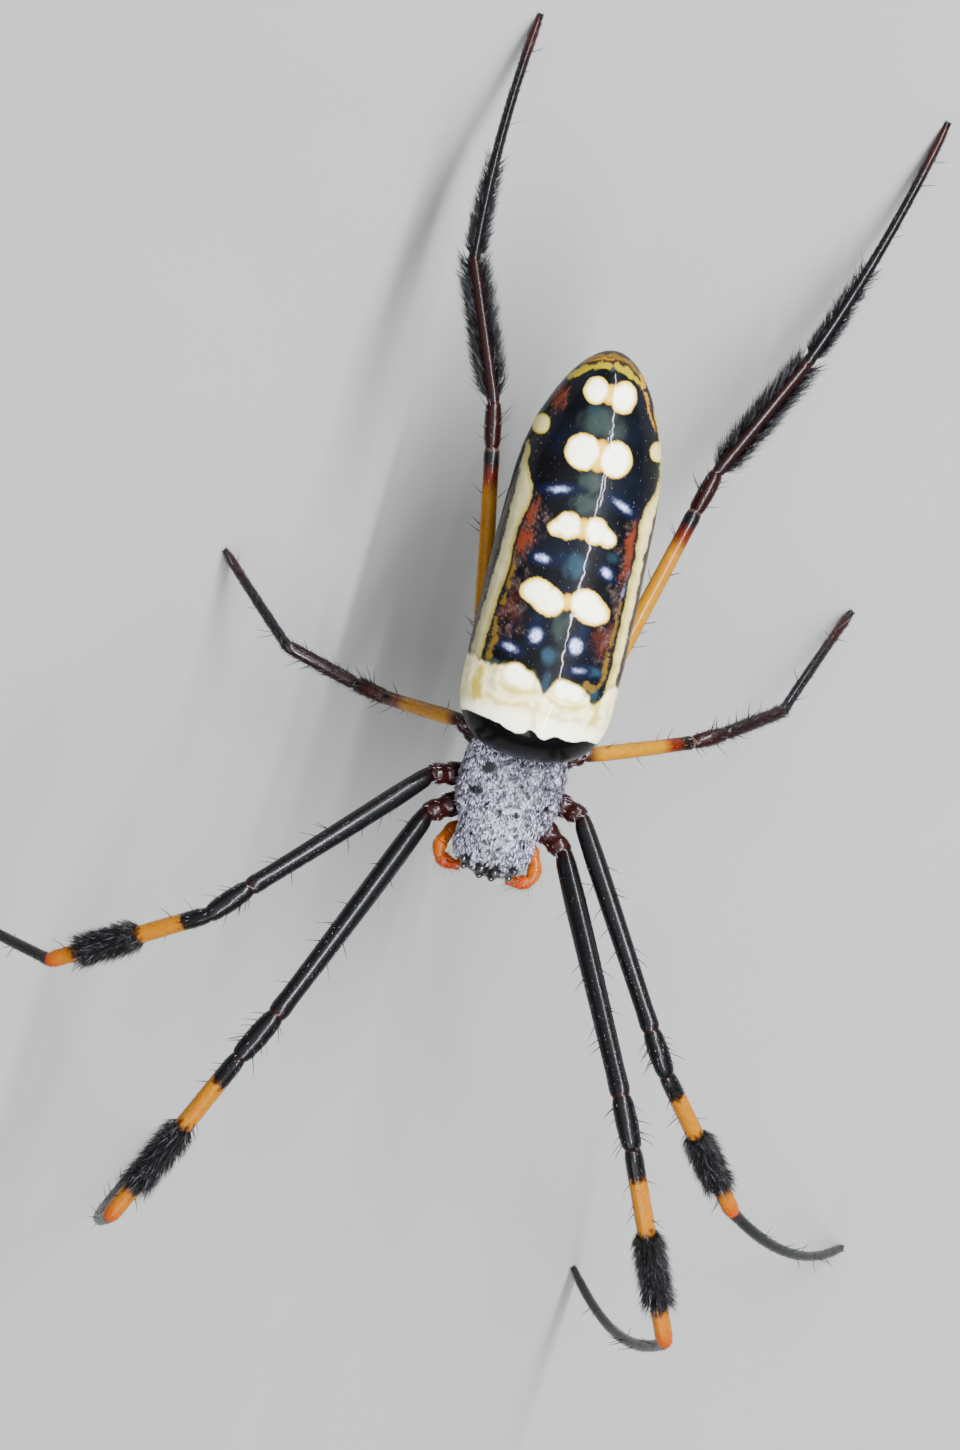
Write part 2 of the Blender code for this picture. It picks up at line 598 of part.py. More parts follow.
def make_foot(name, start, before, first, last, pair):
    """Metatarsus and tarsus as one thin foot that ends in a small flat sole on the floor."""
    centres, tangents = foot_path(start, first, last, FOOT[pair], FOOT_RINGS)
    mitre = (before + first).normalized()
    centres[0] = centres[0] + mitre * (NODE_GAP / 2.0)
    tangents[0] = mitre
    tangents[-1] = -UP
    radii = []
    for k in range(FOOT_RINGS):
        t = k / (FOOT_RINGS - 1)
        radius = FOOT_R[pair] + (TARSUS_R - FOOT_R[pair]) * ease(0.1, 0.8, t)
        radii.append(radius - (TARSUS_R - CLAW_R) * ease(0.9, 1.0, t) + 0.05 * (1.0 - ease(0.0, 0.06, t)))
    rings = tube_rings(centres, tangents, radii, LEG_SIDES)
    for ring in rings:
        for point in ring:
            point.z = max(point.z, 0.0)
    for point in rings[-1]:
        point.z = 0.0
    return loft(name, rings, "black")


def make_leg(side_name, side, pair):
    """One leg from its coxa to the small flat sole of its tarsus, with its brushes of hair."""
    name = "leg_%s_%d_" % (side_name, pair)
    front = pair <= 2
    (hip, knee, femur_end, patella_end, tibia_end), ways = level_knees(side_name, side, pair)
    coxa_way, femur_way, patella_way, tibia_way = ways
    first, last = level_foot(tibia_end, *POSE["%s_%d" % (side_name, pair)][3:], FOOT[pair])

    make_segment(name + "coxa", (hip, knee), (None, femur_way), COXA_PROFILE, COXA_R[pair], 0.0, "dark_red")
    make_segment(name + "femur", (knee, femur_end), (coxa_way, patella_way), FEMUR_PROFILE, FEMUR_R[pair],
                 FEMUR_BOW * FEMUR[pair], "black" if front else "yellow_orange")
    make_segment(name + "patella", (femur_end, patella_end), (femur_way, tibia_way), PATELLA_PROFILE,
                 PATELLA_R[pair], 0.06, "black" if front else "dark_red")
    tibia = make_segment(name + "tibia", (patella_end, tibia_end), (patella_way, first), TIBIA_PROFILE,
                         TIBIA_R[pair], 0.05, "orange" if front else "dark_red")
    foot = make_foot(name + "foot", tibia_end, tibia_way, first, last, pair)

    draw = random.Random(10 * pair + (side_name == "left"))
    if pair in BRUSH:
        start, end, lock_length, rows, row_size = BRUSH[pair]
        spots = [start + (end - start) * (row + 0.3) / rows for row in range(rows)]
        centres = [patella_end.lerp(tibia_end, spot) for spot in spots]
        add_brush(tibia, centres, [tibia_way] * rows, TIBIA_R[pair] * LOCK_SEAT, row_size, BRUSH_GIRTH[pair],
                  lock_length, draw)
    if pair in FOOT_BRUSH:
        start, end, lock_length, rows, row_size = FOOT_BRUSH[pair]
        centres, tangents = foot_path(tibia_end, first, last, FOOT[pair], 101)
        spots = [round(100 * (start + (end - start) * (row + 0.3) / rows)) for row in range(rows)]
        add_brush(foot, [centres[i] for i in spots], [tangents[i] for i in spots], FOOT_R[pair] * LOCK_SEAT,
                  row_size, BRUSH_GIRTH[pair], lock_length, draw)


def build():
    """Make every part of the spider."""
    clear_scene()
    carapace = make_carapace()
    make_eyes(carapace)
    make_sternum()
    make_pedicel()
    make_abdomen()
    make_spinnerets()
    make_chelicerae()
    make_palps()
    for side_name, side in SIDES:
        for pair in (1, 2, 3, 4):
            make_leg(side_name, side, pair)


build()
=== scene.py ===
"""The looks of the golden silk orb weaver: skins, silver hair, brushes, spines, eyes and studio.

Lengths are in millimetres in the frame of the model (head to -Y, the spider's left to +X, +Z up) and
angles in degrees; meshes are turned into metres through MM when they are made.
"""

import math

import bpy
import numpy as np
from mathutils import Matrix, Vector


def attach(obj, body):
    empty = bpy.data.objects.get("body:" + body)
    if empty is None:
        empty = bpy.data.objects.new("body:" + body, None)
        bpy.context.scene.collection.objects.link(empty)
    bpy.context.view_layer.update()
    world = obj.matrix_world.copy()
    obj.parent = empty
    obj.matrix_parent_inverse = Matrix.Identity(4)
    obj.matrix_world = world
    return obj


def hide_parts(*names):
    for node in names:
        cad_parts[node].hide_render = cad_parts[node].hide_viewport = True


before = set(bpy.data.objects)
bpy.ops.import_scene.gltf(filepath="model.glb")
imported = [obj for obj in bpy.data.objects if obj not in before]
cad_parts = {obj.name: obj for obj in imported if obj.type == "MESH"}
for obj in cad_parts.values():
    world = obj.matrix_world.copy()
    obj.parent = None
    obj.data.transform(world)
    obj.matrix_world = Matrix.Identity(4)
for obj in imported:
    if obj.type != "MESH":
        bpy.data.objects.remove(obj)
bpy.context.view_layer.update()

MM = 0.001
TURN = 2.0 * math.pi

# Shape of the body, as in the solids
BODY_AT = np.array((1.65, -3.65, 12.0))   # the front edge of the abdomen, above the floor
BODY_PITCH = 7.0
PROSOMA_YAW = 3.0
PROSOMA_SHIFT = -0.1
PEDICEL_BACK = 1.3
ABDOMEN_LENGTH = 20.2
ABDOMEN_HALF_WIDTH = 3.76
ABDOMEN_SHIFT = -0.17
ABDOMEN_RISE = 3.2
ABDOMEN_DEPTH = 3.6
ABDOMEN_FRONT = 3.5
ABDOMEN_REAR = 6.9
FRONT_FULLNESS = 2.6
REAR_FULLNESS = 1.95
RIM_HEIGHT = 0.35
CARAPACE_REAR = -1.75
CARAPACE_FRONT = 5.76
CARAPACE_FLARE = 0.85
CARAPACE_CROWN = 0.8
CARAPACE_FLOOR = 0.45
PEDICEL_MEETS = (2.55, 0.1)
SPINNERETS_AT = (18.35, -1.13)
STERNUM_Z = -1.42
STERNUM_HALF_DEPTH = 0.52
STERNUM_OUTLINE = ((-1.0, 0.3), (-0.6, 0.55), (0.0, 0.8), (0.8, 0.92), (1.6, 0.85), (2.3, 0.66),
                   (2.9, 0.55), (3.3, 0.34))   # (ahead, half width)
CHELICERA_X = 0.72
CHELICERA_RINGS = ((-0.85, 4.42, 0.5, 0.7), (-1.3, 4.48, 0.56, 0.76), (-2.0, 4.48, 0.55, 0.74),
                   (-2.7, 4.4, 0.48, 0.62), (-3.05, 4.34, 0.34, 0.42))
FANG_PATH = ((0.62, 3.7, -3.1), (0.52, 3.35, -3.25), (0.4, 3.1, -3.05), (0.33, 3.02, -2.7))
FANG_RADII = (0.26, 0.24, 0.18, 0.06)
PALP_PATH = ((1.38, 3.5, -1.35), (1.9, 3.9, -1.15), (2.22, 4.4, -0.95), (2.36, 4.9, -0.88),
             (2.22, 5.35, -0.9), (1.72, 5.58, -1.0), (1.12, 5.56, -1.12))
PALP_R = 0.33
EYES = {"rear_median": (0.34, 5.4, None, 0.19), "front_lateral": (1.12, 5.5, None, 0.17),
        "rear_lateral": (1.26, 5.16, None, 0.17), "front_median": (0.3, 5.7, 0.62, 0.2)}
EYE_SINK = 0.05
SIDES = (("left", 1.0), ("right", -1.0))

# Shape of the legs, as in the solids
FEMUR = {1: 12.7, 2: 10.8, 3: 6.3, 4: 11.8}
PATELLA = {1: 2.6, 2: 2.3, 3: 1.8, 4: 2.15}
TIBIA = {1: 10.7, 2: 8.9, 3: 3.95, 4: 7.2}
FOOT = {1: 16.0, 2: 14.0, 3: 7.4, 4: 14.0}
COXA_R = {1: 0.62, 2: 0.6, 3: 0.5, 4: 0.58}
FEMUR_R = {1: 0.54, 2: 0.5, 3: 0.38, 4: 0.42}
PATELLA_R = {1: 0.54, 2: 0.5, 3: 0.38, 4: 0.42}
TIBIA_R = {1: 0.47, 2: 0.45, 3: 0.35, 4: 0.36}
FOOT_R = {1: 0.3, 2: 0.29, 3: 0.26, 4: 0.28}
TARSUS_R = 0.24
CLAW_R = 0.18
HIP = {1: (1.4, 2.2, -1.2), 2: (1.75, 1.15, -1.2), 3: (1.6, -0.3, -1.2), 4: (1.25, -1.45, -1.2)}
TROCHANTER = {1: (3.4, 3.6, -0.45), 2: (3.75, 1.75, -0.45), 3: (3.05, -1.1, -0.9),
              4: (2.6, -2.6, -1.25)}
POSE = {
    "left_1": ((-64.0, 31.0), (-64.0, -3.0), (-66.0, -17.0), (-110.0, -64.0), (130.0, -62.0)),
    "right_1": ((-116.5, 25.0), (-119.0, 10.0), (-113.0, -17.0), (-110.0, -80.0), (52.0, -56.0)),
    "left_2": ((-58.5, 18.0), (-57.5, -5.0), (-51.0, -23.0), (-38.0, -42.0), (14.0, -64.0)),
    "right_2": ((-137.8, 22.0), (-134.0, 8.0), (-146.0, -26.0), (178.0, -62.0), (-176.0, -80.0)),
    "left_3": ((15.5, -29.0), (25.0, -22.0), (27.5, -38.0), (64.0, -36.0), (59.0, -44.0)),
    "right_3": ((-173.0, -58.0), (172.0, -26.0), (163.0, 12.0), (140.0, -49.0), (138.0, -56.0)),
    "left_4": ((73.5, -17.0), (73.0, -14.0), (62.0, -17.0), (66.0, -21.0), (76.0, -20.0)),
    "right_4": ((100.5, 0.0), (102.0, 0.0), (110.5, -24.0), (91.5, -37.0), (80.0, -40.0)),
}
COXA_PROFILE = ((0.0, 0.66), (0.25, 0.95), (0.55, 1.02), (0.66, 0.84), (0.72, 0.84), (0.82, 0.95),
                (1.0, 0.82))
FEMUR_PROFILE = ((0.0, 0.8), (0.05, 0.95), (0.2, 1.04), (0.45, 1.02), (0.7, 0.96), (0.9, 0.92),
                 (0.97, 0.98), (1.0, 0.86))
PATELLA_PROFILE = ((0.0, 0.84), (0.15, 0.98), (0.5, 1.06), (0.85, 0.96), (1.0, 0.82))
TIBIA_PROFILE = ((0.0, 0.84), (0.05, 0.98), (0.42, 1.0), (0.82, 0.95), (0.96, 0.95), (1.0, 0.82))
FEMUR_BOW = 0.018             # as a share of its length
PATELLA_BOW = 0.06
TIBIA_BOW = 0.05
TARSUS_PLACE = 0.7           # where the last joint lies along the foot
CREASE = 0.1                 # how much a leg narrows at its joints

# The skins lie a little inside the solids, whose flat faces cut inside the round form
SNUG = 0.985
LEG_SNUG = 0.96

# Meshes: rings along and points round each skin
ABDOMEN_GRID = (400, 248)
CARAPACE_GRID = (260, 240)
PALP_GRID = (150, 40)
LEG_SIDES = 40
RING_STEP = 0.075             # distance between two rings of a leg's skin
HAIR_CLEARANCE = 0.01         # hair ends at least this far above the floor
CLAW_CLEARANCE = 0.005

# Colours
BLACK = np.array((0.0018, 0.0018, 0.0023))
BLUE_BLACK = np.array((0.0024, 0.0034, 0.0066))
CREAM_WHITE = np.array((0.97, 0.94, 0.72))
CREAM = np.array((0.54, 0.46, 0.18))
FIELD_CREAM = np.array((0.78, 0.7, 0.4))
# The left stripe's cream, greyed as painted shade on the flank turned away from the light
SHADED_STRIPE_GREY = np.array((0.34, 0.31, 0.16))
OLIVE_YELLOW = np.array((0.21, 0.165, 0.004))
OLIVE = np.array((0.13, 0.11, 0.03))
PALE_YELLOW = np.array((0.4, 0.3, 0.008))
RIM_YELLOW = np.array((0.56, 0.38, 0.03))
BRIDGE_ORANGE = np.array((0.36, 0.165, 0.002))
YELLOW = np.array((0.23, 0.17, 0.001))
ORANGE_BROWN = np.array((0.092, 0.018, 0.008))
MOTTLE_BROWN = np.array((0.036, 0.022, 0.02))
SPECK_GREY = np.array((0.085, 0.066, 0.066))
VEIN_YELLOW = np.array((0.11, 0.064, 0.008))
TEAL = np.array((0.0085, 0.0215, 0.033))
GREY_GREEN = np.array((0.0155, 0.0248, 0.022))
DARK_BLUE = np.array((0.0024, 0.0046, 0.015))
SIGILLA_BLUE = np.array((0.42, 0.47, 0.78))
TIP_BROWN = np.array((0.024, 0.012, 0.006))
SPINNERET_BROWN = np.array((0.04, 0.022, 0.014))
DARK_RED = np.array((0.0125, 0.0016, 0.0013))
DEEP_RED = np.array((0.009, 0.0013, 0.0012))
LEG_ORANGE = np.array((0.25, 0.076, 0.0002))
LEG_YELLOW = np.array((0.24, 0.1, 0.0002))
LEG_RED = np.array((0.07, 0.0055, 0.0012))
TIP_RED = np.array((0.25, 0.032, 0.0005))
PALP_ORANGE = np.array((0.245, 0.05, 0.0005))
PALP_RED = np.array((0.24, 0.016, 0.0005))
SILVER = np.array((0.74, 0.72, 0.92))
SILVER_GREY = np.array((0.08, 0.08, 0.1))
MEMBRANE = np.array((0.15, 0.1, 0.075))


def unit(vectors):
    """Vectors scaled to length 1."""
    return vectors / np.maximum(np.linalg.norm(vectors, axis=-1, keepdims=True), 1e-12)


def ease(low, high, value):
    """0 below low, 1 above high, smooth between."""
    t = np.clip((value - low) / (high - low), 0.0, 1.0)
    return t * t * (3.0 - 2.0 * t)


def ring_share(value, place, width):
    """1 on a narrow ring at a place, falling softly to 0 on both sides."""
    return np.exp(-((value - place) / width) ** 2)


def blend(first, second, share):
    """A colour between two, or an array of them for an array of shares."""
    share = np.asarray(share)[..., None]
    return first * (1.0 - share) + second * share


def rotation(axis, angle):
    """Rotation matrix about a main axis, in degrees."""
    return np.array(Matrix.Rotation(math.radians(angle), 3, axis))


PITCH = rotation("X", -BODY_PITCH)
YAW = rotation("Z", -PROSOMA_YAW)


def prosoma_point(x, ahead, above):
    """Points of the front body: side, distance ahead and height from BODY_AT."""
    back = np.array((0.0, PEDICEL_BACK, 0.0))
    x, ahead, above = np.broadcast_arrays(x, ahead, above)
    place = np.stack((x, -ahead, above), axis=-1)
    place = (place - back) @ YAW.T + back + np.array((PROSOMA_SHIFT, 0.0, 0.0))
    return place @ PITCH.T + BODY_AT


def abdomen_point(x, behind, above):
    """Points of the abdomen: side, distance behind its front edge and height from BODY_AT."""
    x, behind, above = np.broadcast_arrays(x, behind, above)
    return np.stack((x + ABDOMEN_SHIFT, behind, above), axis=-1) @ PITCH.T + BODY_AT


def direction(bearing, pitch):
    """Unit vector for a bearing and a pitch."""
    b, p = math.radians(bearing), math.radians(pitch)
    return np.array((math.cos(b) * math.cos(p), math.sin(b) * math.cos(p), math.sin(p)))


def ring_angles(sides):
    """Angles of the points of a ring."""
    return TURN * (np.arange(sides) + 0.5) / sides


def spline(p0, p1, p2, p3, t):
    """A smooth curve from p1 to p2, where p0 and p3 are the points before and after them."""
    return 0.5 * (2.0 * p1 + (p2 - p0) * t + (2.0 * p0 - 5.0 * p1 + 4.0 * p2 - p3) * t * t
                  + (3.0 * p1 - p0 - 3.0 * p2 + p3) * t ** 3)


# Smooth noise for the colours, made from seeded waves

def waves(points, scale, seed, octaves=4):
    """A smooth random field between about -1 and 1, with features about scale millimetres wide."""
    draw = np.random.default_rng(seed)
    total = np.zeros(points.shape[:-1])
    strength = 1.0
    for _ in range(octaves):
        for _ in range(5):
            way = unit(draw.normal(size=3)) * TURN / scale * draw.uniform(0.7, 1.3)
            total += strength * 0.32 * np.sin(points @ way + draw.uniform(0.0, TURN))
        scale *= 0.5
        strength *= 0.6
    return np.clip(total, -1.5, 1.5)


# Skins: grids of rings closed at both ends

def grid_faces(rings, sides):
    """Triangles of a stack of rings, with a fan to one point at each end."""
    i, j = np.meshgrid(np.arange(rings - 1), np.arange(sides), indexing="ij")
    k = (j + 1) % sides
    a, b, c, d = i * sides + j, i * sides + k, (i + 1) * sides + k, (i + 1) * sides + j
    body = np.concatenate((np.stack((a, b, c), -1).reshape(-1, 3), np.stack((a, c, d), -1).reshape(-1, 3)))
    first, last = rings * sides, rings * sides + 1
    j = np.arange(sides)
    k = (j + 1) % sides
    start = np.stack((np.full(sides, first), k, j), -1)
    end = np.stack((np.full(sides, last), (rings - 1) * sides + j, (rings - 1) * sides + k), -1)
    return np.concatenate((body, start, end))


def make_skin(grid, fields=None):
    """A skin from rings of points (rings, sides, 3) with named fields of the same grid."""
    rings, sides = grid.shape[:2]
    along = unit(np.gradient(grid, axis=0))
    around = np.roll(grid, -1, 1) - np.roll(grid, 1, 1)
    normals = unit(np.cross(around, along))
    centres = grid.mean(axis=1, keepdims=True)
    if np.sum(normals * (grid - centres)) < 0.0:
        normals = -normals
    angle = np.broadcast_to(ring_angles(sides), (rings, sides))
    share = np.broadcast_to((np.arange(rings) / (rings - 1))[:, None], (rings, sides))
    values = {"normal": normals, "along": along, "turn_x": np.cos(angle), "turn_y": np.sin(angle),
              "share": share, **(fields or {})}
    skin = {"points": np.concatenate((grid.reshape(-1, 3), centres[0], centres[-1])),
            "faces": grid_faces(rings, sides), "fields": {}}
    for name, value in values.items():
        value = np.asarray(value, float)
        flat = value.reshape((rings * sides,) + value.shape[2:])
        ends = np.stack((value[0].mean(axis=0), value[-1].mean(axis=0)))
        skin["fields"][name] = np.concatenate((flat, ends))
    a, b, c = (skin["points"][skin["faces"][:, k]] for k in range(3))
    if np.sum(np.cross(a, b) * c) < 0.0:
        skin["faces"] = skin["faces"][:, ::-1]
    return skin


def join(shapes):
    """Several shapes as one set of arrays."""
    joined = {}
    for key in shapes[0]:
        if key == "fields":
            names = shapes[0]["fields"]
            joined[key] = {name: np.concatenate([shape[key][name] for shape in shapes]) for name in names}
        elif key == "faces":
            starts = np.cumsum([0] + [len(shape["points"]) for shape in shapes])
            joined[key] = np.concatenate([shape[key] + start for shape, start in zip(shapes, starts)])
        else:
            joined[key] = np.concatenate([shape[key] for shape in shapes])
    return joined


def add_mesh(name, points, faces, look, colours=None, patches=None):
    """A named object from arrays: points in millimetres, triangles, colour and unwrap at each point."""
    mesh = bpy.data.meshes.new(name)
    mesh.vertices.add(len(points))
    mesh.vertices.foreach_set("co", (points * MM).astype(np.float32).ravel())
    mesh.loops.add(faces.size)
    mesh.loops.foreach_set("vertex_index", faces.astype(np.int32).ravel())
    mesh.polygons.add(len(faces))
    mesh.polygons.foreach_set("loop_start", np.arange(0, faces.size, 3, dtype=np.int32))
    mesh.polygons.foreach_set("loop_total", np.full(len(faces), 3, dtype=np.int32))
    mesh.update(calc_edges=True)
    if colours is not None:
        paint = mesh.color_attributes.new("paint", "FLOAT_COLOR", "POINT")
        rgba = np.concatenate((np.clip(colours, 0.0, 1.0), np.ones((len(points), 1))), axis=1)
        paint.data.foreach_set("color", rgba.astype(np.float32).ravel())
    if patches is not None:
        layer = mesh.uv_layers.new(name="OFBake")
        layer.data.foreach_set("uv", patches[faces.ravel()].astype(np.float32).ravel())
    mesh.shade_smooth()
    mesh.materials.append(look)
    thing = bpy.data.objects.new(name, mesh)
    bpy.context.collection.objects.link(thing)
    return thing


def add_piece(name, shape, look, slot, *nodes):
    """A piece that rides on the model and stands for the solids that it covers; slot is not used."""
    thing = add_mesh(name, shape["points"], shape["faces"], look, shape.get("colours"), shape.get("patches"))
    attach(thing, "root")
    if nodes:
        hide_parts(*nodes)


def tube_rings(centres, tangents, radii, sides):
    """Rings round a path, carried along it without twist; radii may be (count,) or (count, 2)."""
    up = np.array((0.0, 0.0, 1.0))
    radii = np.asarray(radii, float)
    if radii.ndim == 1:
        radii = np.stack((radii, radii), axis=1)
    side = np.cross(tangents[0], up)
    if np.linalg.norm(side) < 0.01:
        side = np.array((1.0, 0.0, 0.0))
    side = unit(side - tangents[0] * (side @ tangents[0]))
    angle = ring_angles(sides)
    rings = np.empty((len(centres), sides, 3))
    for k, (centre, tangent) in enumerate(zip(centres, tangents)):
        if k:
            turn = Vector(tangents[k - 1]).rotation_difference(Vector(tangent))
            side = np.array(turn @ Vector(side))
            side = unit(side - tangent * (side @ tangent))
        top = unit(np.cross(side, tangent))
        rings[k] = (centre + side * radii[k, 0] * np.cos(angle)[:, None]
                    + top * radii[k, 1] * np.sin(angle)[:, None])
    return rings


def smooth_path(points, count):
    """Evenly spaced points and tangents on a smooth curve through a few given ones."""
    points = np.asarray(points, float)
    t = (np.arange(16) / 16.0)[:, None]
    dense = []
    for k in range(len(points) - 1):
        before, after = points[max(k - 1, 0)], points[min(k + 2, len(points) - 1)]
        dense.append(spline(before, points[k], points[k + 1], after, t))
    dense = np.concatenate(dense + [points[-1:]])
    lengths = np.concatenate(((0.0,), np.cumsum(np.linalg.norm(np.diff(dense, axis=0), axis=1))))
    want = np.linspace(0.0, lengths[-1], count)
    path = np.stack([np.interp(want, lengths, dense[:, k]) for k in range(3)], axis=1)
    return path, unit(np.gradient(path, axis=0))


# Hair: solid three-sided needles rooted on a skin
ROOT_DEPTH = 0.02             # how deep a hair's root lies in the skin
PATCH = (0.0012, 0.0013)      # half width and half length of one hair on the unwrap
def scatter(skin, count, draw, weight=None):
    """Random roots spread over a skin by area and weight, with the skin's fields at each."""
    corners = skin["faces"]
    a, b, c = (skin["points"][corners[:, k]] for k in range(3))
    area = np.linalg.norm(np.cross(b - a, c - a), axis=1)
    if weight is not None:
        area = area * np.clip(weight, 0.0, None)[corners].mean(axis=1)
    pick = draw.choice(len(area), count, p=area / area.sum())
    r = np.sqrt(draw.random(count))
    s = draw.random(count)
    shares = np.stack((1.0 - r, r * (1.0 - s), r * s), axis=1)
    chosen = corners[pick]

    def at(values):
        if values.ndim == 1:
            return (values[chosen] * shares).sum(axis=1)
        return (values[chosen] * shares[..., None]).sum(axis=1)

    roots = {name: at(values) for name, values in skin["fields"].items()}
    roots["point"] = at(skin["points"])
    roots["normal"] = unit(roots["normal"])
    roots["along"] = unit(roots["along"])
    return roots


def root_place(roots):
    """Where each root lies on the unwrap of its skin: round it and along it."""
    round_it = np.arctan2(roots["turn_y"], roots["turn_x"]) / TURN + 0.5
    return np.stack((round_it, roots["share"]), axis=1) * 0.99 + 0.005


def needles(roots, lean, length, width, bend, colours, draw, sway):
    """Hair from roots: lean from the normal towards the lie in degrees, bend as a share of length."""
    count = len(roots["point"])
    normal, lie = roots["normal"], roots["along"]
    lean = np.radians(np.broadcast_to(lean, count))[:, None]
    length = np.broadcast_to(length, count)[:, None]
    width = np.broadcast_to(width, count)[:, None]
    side = unit(np.cross(normal, lie))
    lie = unit(lie + side * draw.normal(0.0, sway, count)[:, None])
    side = unit(np.cross(normal, lie))
    way = normal * np.cos(lean) + lie * np.sin(lean)
    bow = lie * np.cos(lean) - normal * np.sin(lean)
    flat = np.cross(way, side)
    start = roots["point"] - normal * ROOT_DEPTH
    place = root_place(roots)
    points = []
    patches = []
    for t, thickness in ((0.0, 1.0), (0.5, 0.72)):
        middle = start + way * length * t + bow * length * bend * t * t
        for k in range(3):
            turn = TURN * k / 3.0
            points.append(middle + (side * math.cos(turn) + flat * math.sin(turn)) * width * 0.5 * thickness)
            patches.append(place + np.array((PATCH[0] * math.cos(turn), 2.0 * PATCH[1] * t - PATCH[1])))
    points.append(start + way * length + bow * length * bend)
    patches.append(place + np.array((0.0, PATCH[1])))
    pattern = [(0, 2, 1), (6, 3, 4), (6, 4, 5), (6, 5, 3)]
    for k in range(3):
        n = (k + 1) % 3
        pattern += [(k, n, 3 + n), (k, 3 + n, 3 + k)]
    faces = (np.arange(count) * len(points))[:, None, None] + np.array(pattern)[None]
    return {"points": np.stack(points, axis=1).reshape(-1, 3), "faces": faces.reshape(-1, 3),
            "patches": np.stack(patches, axis=1).reshape(-1, 2),
            "colours": np.repeat(colours, len(points), axis=0)}


def add_hair(name, parts, look, slot):
    """Join sets of needles into one piece that stays above the floor."""
    joined = join(parts)
    joined["points"][:, 2] = np.maximum(joined["points"][:, 2], HAIR_CLEARANCE)
    add_piece(name, joined, look, slot)


# Materials: roughness and its spread, scale and height of the relief, scale and spread of the tone, settings.
# Scales are in features for each metre.
LOOKS = {
    "leg_shell": (0.3, 0.08, 6500.0, 0.008, 4200.0, 0.16,
                  {"Specular IOR Level": 0.14, "Coat Weight": 0.12, "Coat Roughness": 0.06}),
    "soft_skin": (0.55, 0.1, 5200.0, 0.02, 3000.0, 0.25, {}),
    "hair": (0.34, 0.1, 9000.0, 0.002, 3000.0, 0.2, {"Specular IOR Level": 0.35}),
    "silver_look": (0.3, 0.08, 9000.0, 0.002, 3000.0, 0.2, {"Metallic": 0.5}),
    "abdomen_skin": (0.36, 0.05, 3400.0, 0.005, 2600.0, 0.08,
                     {"Specular IOR Level": 0.04, "Coat Weight": 0.15, "Coat Roughness": 0.05}),
    "shell_under_hair": (0.2, 0.06, 7000.0, 0.006, 5200.0, 0.45, {"Specular IOR Level": 0.35}),
}
GRAIN_STRETCH = (1.0, 0.35, 1.0)        # the relief under the silver hair runs along the body
EYE_TONES = ((0.003, 0.003, 0.004), (0.01, 0.008, 0.012))
FLOOR_TONES = ((0.18, 0.183, 0.174), (0.205, 0.208, 0.198))
def new_look(name):
    """An empty Principled material, its node tree and its shader."""
    material = bpy.data.materials.new(name)
    material.use_nodes = True
    tree = material.node_tree
    return material, tree, tree.nodes["Principled BSDF"]


def add_node(tree, kind, **settings):
    """A node with its settings and, under inputs, the values of its sockets."""
    node = tree.nodes.new(kind)
    values = settings.pop("inputs", {})
    for name, value in settings.items():
        setattr(node, name, value)
    for name, value in values.items():
        node.inputs[name].default_value = value
    return node


def noise(tree, scale, detail, stretch=None):
    """Fine noise in the model's own space."""
    place = add_node(tree, "ShaderNodeTexCoord").outputs["Object"]
    values = {"Scale": scale, "Detail": detail, "Roughness": 0.6}
    texture = add_node(tree, "ShaderNodeTexNoise", inputs=values)
    if stretch is not None:
        mapping = add_node(tree, "ShaderNodeMapping", inputs={"Scale": stretch})
        tree.links.new(place, mapping.inputs["Vector"])
        place = mapping.outputs["Vector"]
    tree.links.new(place, texture.inputs["Vector"])
    return texture


def remap(tree, socket, out_low, out_high):
    """The middle range of a noise carried to another range."""
    node = add_node(tree, "ShaderNodeMapRange",
                    inputs={"From Min": 0.3, "From Max": 0.7, "To Min": out_low, "To Max": out_high})
    tree.links.new(socket, node.inputs["Value"])
    return node.outputs["Result"]


def two_tone(tree, shader, texture, first, second):
    """Let the base colour vary between two colours with a noise."""
    mix = add_node(tree, "ShaderNodeMix", data_type="RGBA")
    mix.inputs["A"].default_value = (*first, 1.0)
    mix.inputs["B"].default_value = (*second, 1.0)
    tree.links.new(texture.outputs["Fac"], mix.inputs["Factor"])
    tree.links.new(mix.outputs["Result"], shader.inputs["Base Color"])


def painted_look(name, stretch=None):
    """A material that shows the paint at each point with finer tone, gloss and relief."""
    rough, rough_spread, bump_scale, bump_height, tone_scale, tone_spread, settings = LOOKS[name]
    material, tree, shader = new_look(name)
    paint = add_node(tree, "ShaderNodeAttribute", attribute_name="paint")
    tone = noise(tree, tone_scale, 5.0)
    factor = remap(tree, tone.outputs["Fac"], 1.0 - tone_spread, 1.0 + tone_spread)
    darken = add_node(tree, "ShaderNodeVectorMath", operation="SCALE")
    tree.links.new(paint.outputs["Color"], darken.inputs[0])
    tree.links.new(factor, darken.inputs["Scale"])
    tree.links.new(darken.outputs["Vector"], shader.inputs["Base Color"])
    relief = noise(tree, bump_scale, 5.0, stretch)
    gloss = remap(tree, relief.outputs["Fac"], rough - rough_spread, rough + rough_spread)
    tree.links.new(gloss, shader.inputs["Roughness"])
    bump = add_node(tree, "ShaderNodeBump", inputs={"Strength": 1.0, "Distance": bump_height * MM})
    tree.links.new(relief.outputs["Fac"], bump.inputs["Height"])
    tree.links.new(bump.outputs["Normal"], shader.inputs["Normal"])
    for socket, value in settings.items():
        shader.inputs[socket].default_value = value
    return material


# Body forms

